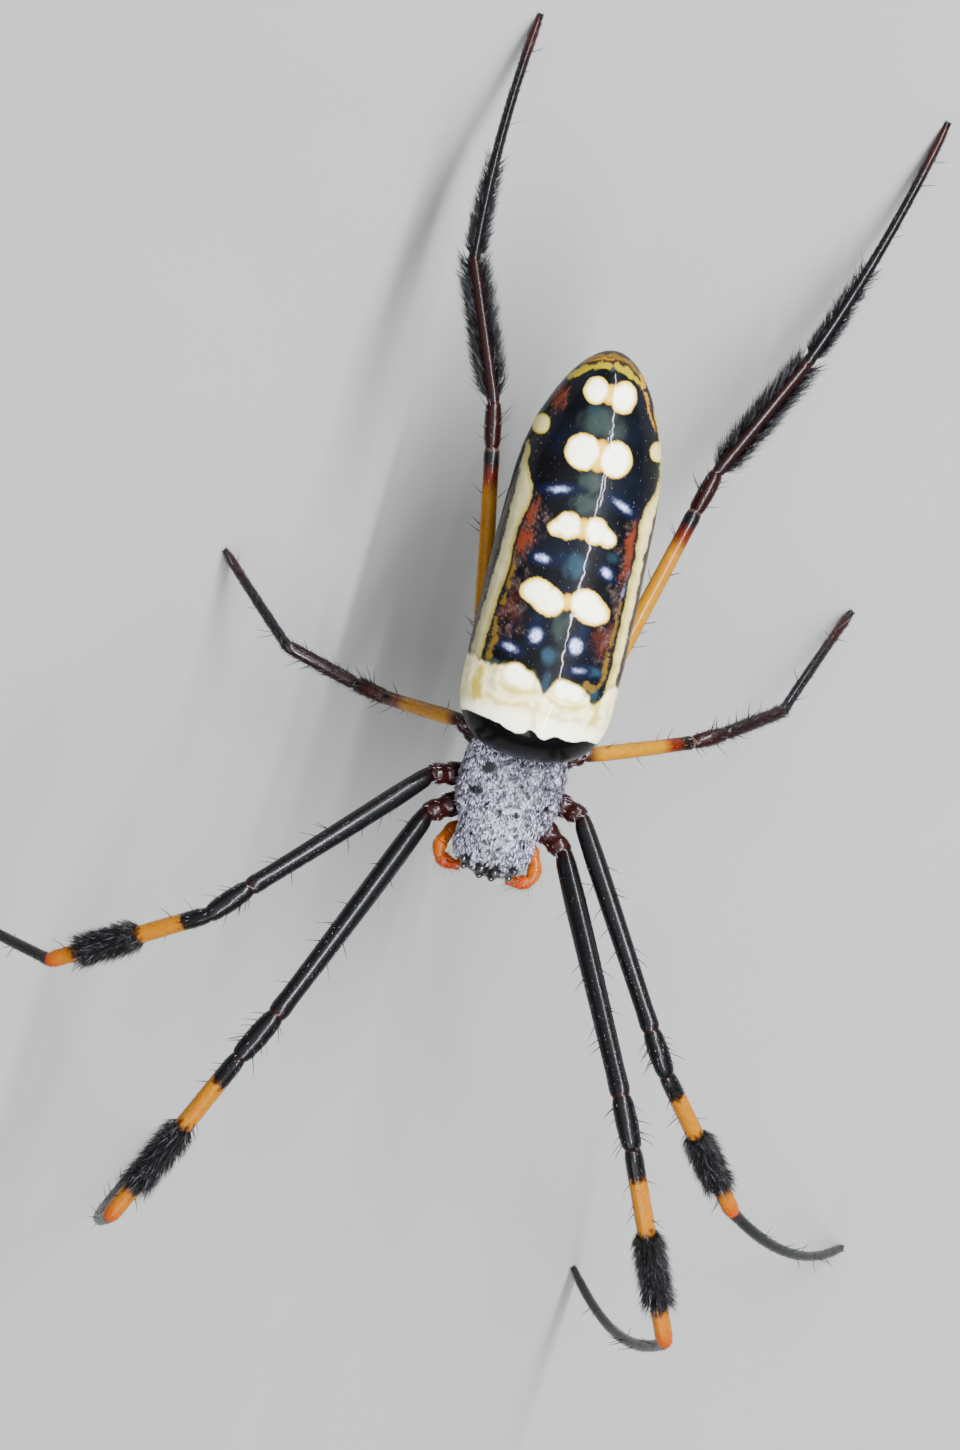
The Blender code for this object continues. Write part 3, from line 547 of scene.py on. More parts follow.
def abdomen_profile(behind):
    """Half width, centre height, rise above and depth below it at a distance behind the front edge."""
    width = ABDOMEN_HALF_WIDTH - 0.19 * ((behind - 6.3) / 7.4) ** 2
    front = np.clip(behind / ABDOMEN_FRONT, 0.0, 1.0)
    rear = np.clip((ABDOMEN_LENGTH - behind) / ABDOMEN_REAR, 0.0, 1.0)
    shape = ((1.0 - (1.0 - front) ** FRONT_FULLNESS) ** (1.0 / FRONT_FULLNESS)
             * (1.0 - (1.0 - rear) ** REAR_FULLNESS) ** (1.0 / REAR_FULLNESS))
    centre = 2.3 - 0.7 * ease(11.0, ABDOMEN_LENGTH, behind)
    depth = 0.7 + (ABDOMEN_DEPTH - 0.7) * ease(0.6, 5.2, behind)
    return width * shape, centre, ABDOMEN_RISE * shape, depth * shape


def carapace_profile(ahead):
    """Half width, top and bottom of the front body at a distance ahead of BODY_AT."""
    thorax = 2.55 * np.sqrt(np.maximum(1.0 - np.abs((ahead - 0.9) / 2.85) ** 2.6, 0.0))
    head_x = np.clip((ahead - 3.2) / 2.56, -1.0, 1.0)
    head = 1.93 * np.sqrt(1.0 - np.abs(head_x) ** 4.5)
    width = np.maximum((thorax ** 6 + head ** 6) ** (1.0 / 6.0), 0.55)
    top = 0.55 + 0.75 * ease(-1.9, 0.4, ahead) + 0.62 * ease(1.2, 3.6, ahead) - 0.85 * ease(4.5, 6.0, ahead)
    bottom = -0.4 - 0.1 * ease(3.0, 4.2, ahead) + 0.25 * ease(5.2, 5.9, ahead)
    return width, top, bottom


def carapace_height(x, ahead):
    """Height of the shell's upper surface over a point."""
    width, top, bottom = carapace_profile(ahead)
    middle = bottom + RIM_HEIGHT
    c = np.clip(np.abs(x) / width, 0.0, 0.99) ** (1.0 / CARAPACE_FLARE)
    return middle + (top - middle) * np.sqrt(1.0 - c * c) ** CARAPACE_CROWN


# The abdomen's pattern. U runs across the back to the spider's left and V back from its front edge, both in
# millimetres, as seen square to the back from a little to the right.
U_MIDDLE = 0.06
U_RISE = 0.094
V_START = -0.12
V_SCALE = 1.009
# The pairs of cream spots from rear to front: ellipses (U, V, half width, half length)
SPOTS = (
    ((-0.46, 18.08, 0.63, 0.7),),
    ((0.92, 18.03, 0.62, 0.83),),
    ((-0.44, 15.0, 0.87, 0.91),),
    ((1.18, 14.98, 0.8, 0.91),),
    ((-0.32, 11.36, 0.66, 0.68), (-0.9, 11.12, 0.42, 0.4)),
    ((1.02, 11.4, 0.6, 0.68), (1.6, 11.16, 0.46, 0.44)),
    ((-1.05, 7.92, 0.86, 0.66), (-0.42, 7.58, 0.8, 0.7)),
    ((1.35, 7.86, 0.84, 0.72), (1.72, 7.58, 0.86, 0.66)),
    ((-1.22, 3.8, 0.7, 0.6), (-0.72, 3.6, 0.66, 0.54)),
    ((1.22, 3.58, 0.62, 0.56), (1.74, 3.5, 0.6, 0.52)),
)
BRIDGES = ((0.24, 18.02, 0.4, 0.52), (0.38, 14.98, 0.5, 0.82), (0.36, 11.36, 0.36, 0.52),
           (0.44, 7.74, 0.3, 0.42))
# The two pale stripes along the flanks: (V, inner edge, outer edge), as distances from the midline
LEFT_STRIPE = ((0.0, 2.96, 3.62), (3.0, 2.97, 3.62), (5.0, 2.97, 3.55), (6.0, 2.94, 3.5), (7.3, 2.84, 3.43),
               (8.8, 2.68, 3.32), (10.0, 2.74, 3.26), (11.0, 2.62, 3.26), (11.7, 2.48, 3.24),
               (12.3, 2.36, 3.22), (12.8, 2.4, 3.22), (13.3, 2.66, 3.24), (13.8, 2.9, 3.26),
               (14.8, 3.0, 3.22), (15.3, 3.12, 3.1))
RIGHT_STRIPE = ((0.0, 3.05, 3.55), (3.0, 3.12, 3.55), (5.0, 3.22, 3.64), (7.3, 3.2, 3.64), (9.0, 3.14, 3.62),
                (10.5, 3.14, 3.58), (11.5, 3.05, 3.6), (12.4, 2.96, 3.62), (13.0, 3.04, 3.64),
                (13.7, 3.32, 3.66), (14.6, 3.42, 3.6), (16.0, 3.2, 3.3), (18.2, 2.3, 2.44))
FLANK_SPOTS = ((-2.72, 15.93, 0.44, 0.52), (3.08, 15.88, 0.4, 0.5))
# How far the warm mottled skin reaches inwards from each stripe: (V, left, right)
WARM_REACH = ((4.0, 0.1, 0.1), (4.8, 0.5, 0.4), (5.8, 1.5, 1.1), (6.8, 1.6, 1.2), (7.6, 0.9, 0.6),
              (9.0, 0.8, 0.7), (10.2, 1.0, 0.6), (11.6, 1.3, 0.9), (12.3, 0.5, 0.4), (12.9, 0.0, 0.0))
# Orange patches in it: (U, V, half width, half length, strength)
ORANGE_PATCHES = ((-2.28, 11.55, 0.3, 0.7, 1.0), (-2.32, 10.2, 0.42, 0.55, 1.0),
                  (2.86, 11.5, 0.26, 0.8, 1.0), (2.9, 10.15, 0.26, 0.7, 1.0),
                  (-2.2, 6.9, 0.5, 0.6, 0.22), (2.6, 6.4, 0.45, 0.7, 0.3),
                  (-2.1, 17.4, 0.3, 0.55, 0.7), (-2.6, 9.0, 0.2, 0.6, 0.5))
# Small pale-blue pits with dark-blue halos: (U, V, half width, half length, tilt)
SIGILLA = ((-1.15, 12.97, 0.55, 0.17, 13.0), (1.97, 12.88, 0.55, 0.19, -22.0), (-1.2, 9.54, 0.4, 0.21, 0.0),
           (1.98, 9.54, 0.33, 0.23, -30.0), (-0.66, 5.84, 0.33, 0.4, -10.0), (1.32, 5.76, 0.36, 0.42, 0.0),
           (-1.74, 5.01, 0.4, 0.18, -12.0), (1.72, 4.66, 0.33, 0.15, 10.0))
# Soft glassy patches on the midline: (U, V, half width, half length, colour, strength)
GLASSY = ((-0.02, 16.6, 0.85, 0.72, GREY_GREEN, 1.0), (-0.3, 17.15, 0.45, 0.3, TEAL, 0.4),
          (1.1, 16.4, 0.36, 0.5, GREY_GREEN, 0.5), (0.24, 13.62, 0.58, 0.55, GREY_GREEN, 1.0),
          (0.2, 12.5, 0.62, 0.62, GREY_GREEN, 1.0), (0.4, 9.6, 0.62, 0.66, TEAL, 1.2),
          (-0.3, 9.7, 0.4, 0.45, DARK_BLUE, 0.7), (2.12, 10.36, 0.3, 0.26, TEAL, 0.7),
          (0.36, 6.55, 0.46, 0.7, GREY_GREEN, 0.8), (0.16, 5.0, 0.42, 0.45, TEAL, 1.3),
          (0.32, 3.6, 0.26, 0.66, TEAL, 1.0), (2.4, 4.76, 0.5, 0.26, TEAL, 1.4),
          (-0.8, 6.5, 0.26, 0.5, DARK_BLUE, 1.0), (1.5, 6.5, 0.3, 0.5, DARK_BLUE, 1.0),
          (2.68, 3.72, 0.26, 0.34, TEAL, 1.1), (-2.3, 4.18, 0.32, 0.16, TEAL, 0.8),
          (0.06, 19.38, 0.2, 0.26, GREY_GREEN, 1.2))
# Thin warm lines, and one lilac line that is a painted reflection on the right flank ridge: (points (U, V),
# half width, colour, strength)
WARM_LINES_AND_GLINT = (
    (((-1.72, 17.95), (-1.9, 17.62), (-2.15, 17.35), (-2.42, 16.95)), 0.06, ORANGE_BROWN, 0.9),
    (((1.9, 18.55), (2.1, 17.95), (2.42, 17.45), (2.8, 16.85)), 0.06, BRIDGE_ORANGE, 0.8),
    (((-2.62, 9.6), (-2.5, 9.0), (-2.56, 8.3), (-2.44, 7.7), (-2.62, 7.0)), 0.09, VEIN_YELLOW, 0.8),
    (((3.0, 8.3), (2.96, 7.6), (3.02, 6.9), (2.94, 6.2)), 0.08, VEIN_YELLOW, 0.8),
    (((-2.76, 6.2), (-2.62, 5.75), (-2.5, 5.3), (-2.66, 4.9), (-2.62, 4.4)), 0.12, VEIN_YELLOW, 0.9),
    (((2.96, 5.8), (2.9, 5.3), (2.98, 4.8), (2.84, 4.1)), 0.09, VEIN_YELLOW, 0.9),
    # A painted reflection: a lilac glint of the light along the right flank ridge
    (((3.04, 9.9), (3.02, 9.3), (2.98, 8.7)), 0.05, SIGILLA_BLUE * 0.4, 0.5),
    (((2.2, 4.05), (2.55, 4.0)), 0.14, VEIN_YELLOW, 0.8),
)
# The yellow and brown cap at the rear tip
TIP_LINES = (
    (((-1.45, 19.3), (-0.8, 19.78), (0.0, 19.98), (0.85, 19.82), (1.42, 19.35)), 0.09, VEIN_YELLOW, 0.9),
    (((-1.1, 19.45), (-0.45, 19.72), (0.0, 19.78)), 0.04, BRIDGE_ORANGE, 0.6),
    (((-1.85, 18.5), (-1.3, 19.0), (-0.65, 19.3), (-0.12, 19.45)), 0.14, YELLOW, 1.0),
    (((0.26, 19.48), (0.75, 19.36), (1.2, 19.14), (1.7, 18.86)), 0.15, YELLOW, 1.0),
    (((1.45, 19.28), (1.62, 19.1), (1.72, 18.9)), 0.09, BRIDGE_ORANGE, 0.9),
)
# Upper edge of the pale front field and of the black front band: (U, V)
FIELD_EDGE = ((-3.4, 4.3), (-2.95, 4.05), (-2.2, 4.0), (-1.8, 4.1), (-0.4, 4.0), (0.05, 3.6),
              (0.35, 3.1), (0.65, 3.6), (1.0, 3.9), (2.1, 3.85), (2.5, 3.55), (2.75, 3.1), (3.0, 3.3),
              (3.4, 4.3))
BAND_EDGE = ((-3.5, 1.5), (-3.2, 1.62), (-2.8, 1.6), (-2.2, 1.46), (-1.4, 1.34), (-1.0, 1.14),
             (-0.6, 1.05), (-0.2, 1.14), (0.1, 1.42), (0.34, 1.32), (0.6, 1.1), (0.86, 1.02),
             (1.14, 1.2), (1.45, 1.32), (1.9, 1.24), (2.4, 1.27), (2.8, 1.44), (3.15, 1.46), (3.6, 1.35))
# Soft yellow and olive lines in the front field: (points (U, V), half width, colour, strength)
FIELD_LINES = (
    (((-2.85, 3.6), (-2.9, 2.9), (-2.8, 2.4)), 0.26, PALE_YELLOW, 0.9),
    (((-2.2, 3.8), (-2.25, 3.3), (-2.1, 2.9)), 0.16, OLIVE, 0.55),
    (((-1.8, 3.25), (-1.45, 3.02), (-0.7, 2.98), (-0.1, 3.2)), 0.12, PALE_YELLOW, 0.8),
    (((-2.3, 2.6), (-1.7, 2.26), (-1.0, 2.3), (-0.3, 2.55)), 0.12, PALE_YELLOW, 0.7),
    (((0.16, 2.6), (0.14, 2.0), (0.22, 1.6)), 0.12, PALE_YELLOW, 0.6),
    (((0.66, 3.0), (1.2, 2.78), (1.9, 2.82), (2.4, 3.1)), 0.11, PALE_YELLOW, 0.8),
    (((0.9, 2.2), (1.6, 2.18), (2.3, 2.3)), 0.1, OLIVE, 0.4),
    (((2.95, 3.4), (3.02, 2.8), (2.9, 2.3)), 0.18, PALE_YELLOW, 0.8),
)
CURVE_SPREAD = 0.07           # corners of a short table of edge points are rounded over this distance


def ellipse_depth(u, v, centre_u, centre_v, half_u, half_v, tilt=0.0):
    """Signed depth inside an ellipse: positive inside, in millimetres."""
    du, dv = u - centre_u, v - centre_v
    if tilt:
        c, s = math.cos(math.radians(tilt)), math.sin(math.radians(tilt))
        du, dv = du * c + dv * s, dv * c - du * s
    return (1.0 - np.sqrt((du / half_u) ** 2 + (dv / half_v) ** 2)) * min(half_u, half_v)


def line_depth(u, v, points, half_width):
    """Signed depth inside a line through a few points."""
    near = np.full(u.shape, 1e3)
    for (u0, v0), (u1, v1) in zip(points, points[1:]):
        length = math.hypot(u1 - u0, v1 - v0)
        t = np.clip(((u - u0) * (u1 - u0) + (v - v0) * (v1 - v0)) / length ** 2, 0.0, 1.0)
        near = np.minimum(near, np.hypot(u - u0 - (u1 - u0) * t, v - v0 - (v1 - v0) * t))
    return half_width - near


def soft_union(depths, softness):
    """Union of signed depths whose meeting corners are rounded."""
    depths = np.stack(depths)
    return softness * np.log(np.sum(np.exp(np.clip(depths / softness, -60.0, 60.0)), axis=0))


def curve_value(points, at, column):
    """A value read off a short list of points along the first column, with its corners rounded."""
    table = np.array(points)
    steps = np.array((-1.5, -0.5, 0.5, 1.5)) * CURVE_SPREAD
    return sum(np.interp(at + step, table[:, 0], table[:, column]) for step in steps) / len(steps)


def lay_lines(colour, lines, u, v, fine, softness):
    """Paint thin lines over a colour, broken up by fine noise."""
    for line, half_width, tint, strength in lines:
        depth = line_depth(u, v, line, half_width) + half_width * 0.7 * fine
        colour = blend(colour, tint, ease(-softness, softness, depth) * strength)
    return colour


def paint_abdomen(points, u, v, upper):
    """Colour of the abdomen, and how deep each point lies in the cream marks."""
    wobble = waves(points, 0.9, 11)
    fine = waves(points, 0.55, 12)
    grain = waves(points, 0.22, 13)
    u = u + 0.015 * waves(points, 1.0, 14)
    v = v + 0.015 * waves(points, 1.0, 15)
    colour = blend(BLACK, BLUE_BLACK, np.clip(0.5 + 0.6 * waves(points, 3.0, 16), 0.0, 1.0))

    # Warm mottled skin along the stripes, broken up by black and by fine pale grains
    for column, edges, away in ((1, LEFT_STRIPE, -u), (2, RIGHT_STRIPE, u)):
        reach = curve_value(WARM_REACH, v, column)
        inside = curve_value(edges, v, 1) - away
        share = ease(1.15, 0.45, inside / np.maximum(reach, 0.05) + 0.45 * fine) * ease(0.05, 0.3, reach)
        share = share * ease(-0.95, 0.25, grain + 0.35 + 0.3 * wobble)
        tone = np.clip(0.55 + 0.55 * waves(points, 0.7, 19), 0.15, 1.3)
        colour = blend(colour, MOTTLE_BROWN * tone[..., None], share)
        specks = ease(0.62, 0.95, waves(points, 0.2, 20)) * share
        colour = blend(colour, SPECK_GREY, specks * 0.7)
    for centre_u, centre_v, half_u, half_v, strength in ORANGE_PATCHES:
        near = 1.0 - np.hypot((u - centre_u) / half_u, (v - centre_v) / half_v)
        share = ease(-0.45, 0.5, near + 0.4 * fine + 0.3 * grain) * strength
        colour = blend(colour, ORANGE_BROWN, share)
    for centre_u, centre_v, half_u, half_v, tint, strength in GLASSY:
        near = 1.0 - np.hypot((u - centre_u) / half_u, (v - centre_v) / half_v)
        share = ease(-0.35, 0.65, near + 0.16 * fine) * min(strength, 1.0)
        colour = blend(colour, tint * max(strength, 1.0), share)
    for pit in SIGILLA:
        depth = ellipse_depth(u, v, *pit) + 0.03 * grain
        colour = blend(colour, DARK_BLUE, ease(-0.32, -0.02, depth) * 0.95)
        colour = blend(colour, SIGILLA_BLUE * 0.16, ease(-0.06, 0.08, depth))
        colour = blend(colour, SIGILLA_BLUE, ease(0.03, 0.17, depth) * np.clip(0.8 + 0.4 * grain, 0.0, 1.0))
    colour = lay_lines(colour, WARM_LINES_AND_GLINT, u, v, fine + 0.5 * grain, 0.05)

    # The stripes along the flanks: cream outside, olive yellow inside, edged by a thin dark line; the left
    # stripe's cream is greyed as painted shade, for the flank turned away from the light
    depths = []
    for side, edges, pale in ((-1.0, LEFT_STRIPE, SHADED_STRIPE_GREY), (1.0, RIGHT_STRIPE, CREAM)):
        away = u * side + 0.03 * wobble + 0.015 * grain
        inner = curve_value(edges, v, 1)
        outer = curve_value(edges, v, 2)
        ends = ease(edges[-1][0] + 0.1, edges[-1][0] - 0.3, v)
        depth = np.minimum(away - inner, outer - away) - (1.0 - ends) * 0.5
        depths.append(depth)
        margin = ease(0.26, 0.08, away - inner)
        tint = blend(pale * (1.0 + 0.1 * fine[..., None]), OLIVE_YELLOW, margin * 0.7)
        dark = ease(0.12, 0.02, np.abs(away - inner + 0.07)) * ends * ease(3.2, 4.4, v)
        colour = blend(colour, BLACK * 2.0, dark * 0.9)
        colour = blend(colour, tint, ease(-0.03, 0.05, depth))
        rim = ease(0.1, 0.02, np.abs(away - outer - 0.05)) * ends
        colour = blend(colour, TIP_BROWN, rim * (side > 0.0))
    for spot in FLANK_SPOTS:
        depth = ellipse_depth(u, v, *spot)
        depths.append(depth)
        tint = blend(PALE_YELLOW, CREAM, ease(0.0, 0.16, depth))
        colour = blend(colour, tint, ease(-0.02, 0.04, depth))

    # The cap of the rear tip
    cap = v - 19.05 - 0.42 * np.cos(np.clip(u - 0.1, -1.8, 1.8) * 0.9) + 0.05 * fine
    colour = blend(colour, TIP_BROWN * (1.0 + 0.4 * grain[..., None]), ease(-0.04, 0.06, cap) * 0.9)
    colour = lay_lines(colour, TIP_LINES, u, v, fine * 0.6, 0.04)

    # The pale field at the front, with yellow and olive shading
    field = curve_value(FIELD_EDGE, u, 1) - v + 0.06 * fine
    depths.append(field)
    clouds = ease(0.0, 0.9, waves(points, 1.1, 17) + 0.2)
    tint = blend(FIELD_CREAM, CREAM, clouds * 0.6)
    tint = blend(tint, CREAM_WHITE, ease(2.4, 1.6, v))
    tint = lay_lines(tint, FIELD_LINES, u, v, fine * 0.5, 0.13)
    colour = blend(colour, OLIVE * 0.5, ease(-0.3, 0.05, field) * 0.6)
    colour = blend(colour, tint, ease(-0.08, 0.16, field))

    # The paired cream spots with their soft yellow rims and bridges
    for bridge in BRIDGES:
        depth = ellipse_depth(u, v, *bridge)
        depths.append(depth)
        tint = blend(BRIDGE_ORANGE, RIM_YELLOW, ease(0.0, 0.2, depth))
        colour = blend(colour, tint, ease(-0.03, 0.04, depth))
    for k, spot in enumerate(SPOTS):
        depth = soft_union([ellipse_depth(u, v, *part) for part in spot], 0.06) + 0.02 * wobble
        depths.append(depth)
        rim = 0.27 + 0.07 * fine
        tint = blend(BRIDGE_ORANGE, RIM_YELLOW, ease(-0.04, 0.03, depth))
        tint = blend(tint, CREAM_WHITE, ease(0.01, rim, depth))
        strength = 1.0 if k < 8 else ease(-0.05, 0.2, depth)
        colour = blend(colour, tint, ease(-0.03, 0.035, depth) * strength)

    # The black band over the front edge, and the dark flanks and underside with their pale flecks
    band = v - curve_value(BAND_EDGE, u, 1) + 0.015 * wobble
    colour = blend(BLACK * 0.5, colour, ease(-0.03, 0.03, band))
    below = ease(0.02, -0.22, upper)
    flecks = ease(0.55, 0.95, waves(points, 1.5, 18, 2)) * ease(2.5, 4.0, v)
    under = blend(BLACK * 1.2 + MOTTLE_BROWN * 0.15, CREAM * 0.75, flecks * 0.85)
    colour = blend(colour, under, below)
    cream = np.maximum.reduce(depths) * (1.0 - below) - below
    return colour, cream


def make_abdomen():
    """The long abdomen's skin, with dimples at its pits and its paint."""
    rings, sides = ABDOMEN_GRID
    turn = math.pi * (np.arange(rings) + 0.35) / (rings - 0.3)
    behind = (ABDOMEN_LENGTH * (1.0 - np.cos(turn)) / 2.0)[:, None]
    # The points lie closer together on the patterned back than below
    angle = ring_angles(sides)[None, :]
    angle = angle + 0.3 * np.cos(angle)
    width, centre, rise, depth = abdomen_profile(behind)
    c, s = np.cos(angle), np.sin(angle)
    x, above = width * c, np.where(s > 0.0, rise, depth) * s
    u = x + U_MIDDLE + U_RISE * np.maximum(above, 0.0)
    v = np.broadcast_to(behind * V_SCALE + V_START, u.shape)
    flat = abdomen_point(x, behind, centre + above)
    colour, cream = paint_abdomen(flat, u, v, s * np.ones_like(u))
    relief = 0.016 * waves(flat, 3.2, 21, 2) + 0.003 * waves(flat, 0.8, 22, 2)
    relief = relief + 0.016 * ease(0.0, 0.3, cream) * (s > -0.1)
    for pit in SIGILLA:
        relief = relief - 0.06 * ease(-0.1, 0.2, ellipse_depth(u, v, *pit)) * (s > 0)
    scale = SNUG + relief / 3.5
    grid = abdomen_point(x * scale, (behind - 9.5) * SNUG + 9.5, centre + above * scale)
    skin = make_skin(grid, {"v": v, "colour": colour})
    skin["colours"] = skin["fields"].pop("colour")
    add_piece("abdomen_skin", skin, painted_look("abdomen_skin"), "abdomen_skin", "abdomen")
    return skin


# The front body. Bare black places on the silver shell: (side, ahead, half width, half length)
BARE_SPOTS = ((-1.62, 1.82, 0.34, 0.24), (1.91, 1.77, 0.16, 0.2), (-0.24, 2.53, 0.15, 0.22),
              (0.53, 2.48, 0.16, 0.2), (-0.24, 1.19, 0.15, 0.15), (0.43, 1.15, 0.1, 0.1),
              (-1.38, 0.62, 0.3, 0.34), (1.62, 0.91, 0.24, 0.07), (-1.29, 3.87, 0.08, 0.14),
              (-0.19, 3.87, 0.07, 0.12), (-0.38, 4.39, 0.08, 0.09), (1.34, 3.87, 0.07, 0.14),
              (-0.95, 2.35, 0.1, 0.28), (1.42, 2.05, 0.22, 0.07), (0.05, 0.3, 0.26, 0.1))


def bare_share(x, ahead):
    """1 where the shell is bare and black, 0 where silver hair covers it."""
    share = np.zeros(np.shape(x))
    for side, place, half_x, half_y in BARE_SPOTS:
        near = 1.0 - np.hypot((x - side) / half_x, (ahead - place) / half_y)
        share = np.maximum(share, ease(-0.25, 0.3, near))
    for side in (-1.0, 1.0):
        for eye_x, eye_ahead, _, radius in EYES.values():
            near = radius * 1.9 - np.hypot(x - side * eye_x, ahead - eye_ahead)
            share = np.maximum(share, ease(-0.06, 0.06, near))
    return np.maximum(share, ease(5.44, 5.56, ahead))


def eye_centres():
    """Name, centre and radius of each of the eight eyes."""
    for name, (x, ahead, above, radius) in EYES.items():
        height = carapace_height(x, ahead) - EYE_SINK if above is None else above
        for side_name, side in SIDES:
            yield "eye_%s_%s" % (name, side_name), prosoma_point(side * x, ahead, height), radius


def make_carapace():
    """The shell of the front body, with its head, grooves and eye mounds; its silver hair is added by
    silver_coat.
    """
    rings, sides = CARAPACE_GRID
    share = np.linspace(0.0, 1.0, rings)[:, None]
    ahead = CARAPACE_REAR + (CARAPACE_FRONT - CARAPACE_REAR) * (1.0 - (1.0 - share) ** 1.35)
    angle = ring_angles(sides)[None, :]
    c, s = np.cos(angle), np.sin(angle)
    width, top, bottom = carapace_profile(ahead)
    middle = bottom + RIM_HEIGHT
    x = width * np.sign(c) * np.abs(c) ** CARAPACE_FLARE
    over = np.where(s > 0.0, (top - middle) * np.abs(s) ** CARAPACE_CROWN,
                    (bottom - middle) * np.abs(s) ** CARAPACE_FLOOR)
    # Grooves between head and thorax, and the pit in the middle of the thorax
    wide = x / np.maximum(width, 0.1)
    groove = np.exp(-((ahead - 2.95 + 1.5 * np.abs(wide)) / 0.28) ** 2) * ease(0.1, 0.45, np.abs(wide))
    pit = np.exp(-(x / 0.42) ** 2 - ((ahead - 0.75) / 0.4) ** 2)
    relief = -0.1 * groove - 0.14 * pit
    place = prosoma_point(x, ahead, middle + over)
    relief = relief + 0.016 * waves(place, 0.7, 31)
    over = over * (SNUG + np.where(s > 0.0, relief / np.maximum(top - middle, 0.3), 0.0))
    grid = prosoma_point(x * SNUG, (ahead - 2.0) * 0.992 + 2.0, middle + over)
    for _, centre, radius in eye_centres():
        away = grid - centre
        distance = np.linalg.norm(away, axis=-1, keepdims=True)
        lift = 0.35 * radius * ease(2.1, 1.0, distance / radius) * (distance > radius * 0.6)
        grid = grid + unit(away * np.array((0.4, 0.4, 1.0))) * lift * 0.55
    bare = bare_share(x, ahead) * (s > -0.2)
    upper = s * np.ones_like(x)
    silver = (1.0 - bare) * (1.0 - ease(-0.15, -0.35, upper))
    tone = waves(place, 0.3, 32)
    colour = blend(BLACK, SILVER_GREY, silver * np.clip(0.55 + 0.45 * tone, 0.0, 1.0))
    skin = make_skin(grid, {"side": x, "ahead": ahead * np.ones_like(x), "silver": silver, "upper": upper,
                            "colour": colour})
    skin["colours"] = skin["fields"].pop("colour")
    look = painted_look("shell_under_hair", GRAIN_STRETCH)
    add_piece("carapace_skin", skin, look, "silver_hair", "carapace")
    return skin


TUFTS = 5400
TUFT_HAIRS = 3
LONG_HAIRS = 420


def silver_coat(skin, hair_look):
    """Short flat silver hair in small tufts, which thins out at the rim and at the bare spots, with a painted
    highlight along the head's midline.
    """
    draw = np.random.default_rng(41)
    values = skin["fields"]
    weight = values["silver"] ** 1.5 * ease(-0.05, 0.3, values["upper"])
    tufts = scatter(skin, TUFTS, draw, weight)
    roots = {name: np.repeat(values, TUFT_HAIRS, axis=0) for name, values in tufts.items()}
    roots["point"] = roots["point"] + draw.normal(0.0, 0.022, roots["point"].shape)
    side, normal = roots["side"], roots["normal"]
    # The hair lies forward on the head and points in towards the midline on the flanks
    lie = prosoma_point(0.0, 1.0, 0.0) - prosoma_point(0.0, 0.0, 0.0)
    inward = prosoma_point(1.0, 0.0, 0.0) - prosoma_point(0.0, 0.0, 0.0)
    pull = -np.sign(side) * ease(0.3, 2.2, np.abs(side)) * 0.35
    along = unit(lie + inward * pull[:, None])
    roots["along"] = unit(along - normal * np.sum(along * normal, 1)[:, None])
    clumps = waves(roots["point"], 0.55, 42, 3)
    # middle brightens the hair along the head's midline: a painted highlight where the top of the head meets
    # the light; clumps and luck are the hair's own uneven tone
    middle = np.exp(-(side / 0.9) ** 2) * ease(1.2, 2.0, roots["ahead"]) * ease(4.4, 3.4, roots["ahead"])
    luck = np.repeat(draw.normal(0.0, 0.36, TUFTS), TUFT_HAIRS)
    bright = ease(-0.5, 0.7, 0.1 + 0.2 * clumps + 0.3 * middle + luck)
    bright = bright * ease(2.75, 2.1, np.abs(side)) * 0.75 + bright * 0.25
    tints = blend(SILVER_GREY * 0.4, SILVER * 1.2, bright ** 1.6)
    count = len(tints)
    parts = [needles(roots, draw.uniform(48.0, 80.0, count), draw.uniform(0.14, 0.26, count),
                     0.036 + 0.018 * bright, 0.25, tints, draw, 0.35)]
    # Sparse longer hairs that stand up from the head and the rim
    count = LONG_HAIRS
    roots = scatter(skin, count, draw, weight)
    roots["along"] = unit(lie - roots["normal"] * (roots["normal"] @ lie)[:, None])
    parts.append(needles(roots, draw.uniform(25.0, 55.0, count), draw.uniform(0.35, 0.7, count), 0.024, 0.35,
                         np.broadcast_to(SILVER_GREY, (count, 3)), draw, 0.5))
    add_hair("carapace_hair", parts, hair_look, "silver_hair")


def make_eyes():
    """Eight polished black eyes."""
    look, tree, shader = new_look("eye_black")
    tone = noise(tree, 9000.0, 2.0)
    two_tone(tree, shader, tone, *EYE_TONES)
    tree.links.new(remap(tree, tone.outputs["Fac"], 0.05, 0.1), shader.inputs["Roughness"])
    shader.inputs["Coat Weight"].default_value = 1.0
    shader.inputs["Coat Roughness"].default_value = 0.03
    angle = ring_angles(32)
    tilt = math.pi * (np.arange(20) + 0.5)[:, None] / 20
    ball = np.stack((np.sin(tilt) * np.cos(angle), np.sin(tilt) * np.sin(angle),
                     np.cos(tilt) * np.ones_like(angle)), axis=-1)
    for name, centre, radius in eye_centres():
        add_piece(name + "_dome", make_skin(centre + ball * radius), look, "eye", name)


def simple_skin(name, grid, colour, look, slot, node):
    """A skin with one colour that varies gently, dressed as a piece."""
    skin = make_skin(grid)
    tone = 1.0 + 0.18 * waves(skin["points"], 0.6, len(name))
    skin["colours"] = colour * tone[:, None]
    add_piece(name, skin, look, slot, node)
    return skin


def flat_rings(outline, sides, place):
    """Rings from a short outline table, refined by smooth steps, through a function that places points."""
    table = np.array(outline)
    last = len(table) - 1
    steps = np.linspace(0.0, last, 8 * last + 1)[:, None]
    i = np.clip(steps[:, 0].astype(int), 0, last - 1)
    values = spline(table[np.maximum(i - 1, 0)], table[i], table[i + 1], table[np.minimum(i + 2, last)],
                    steps - i[:, None])
    angle = ring_angles(sides)
    return np.stack([place(row, np.cos(angle), np.sin(angle)) for row in values])


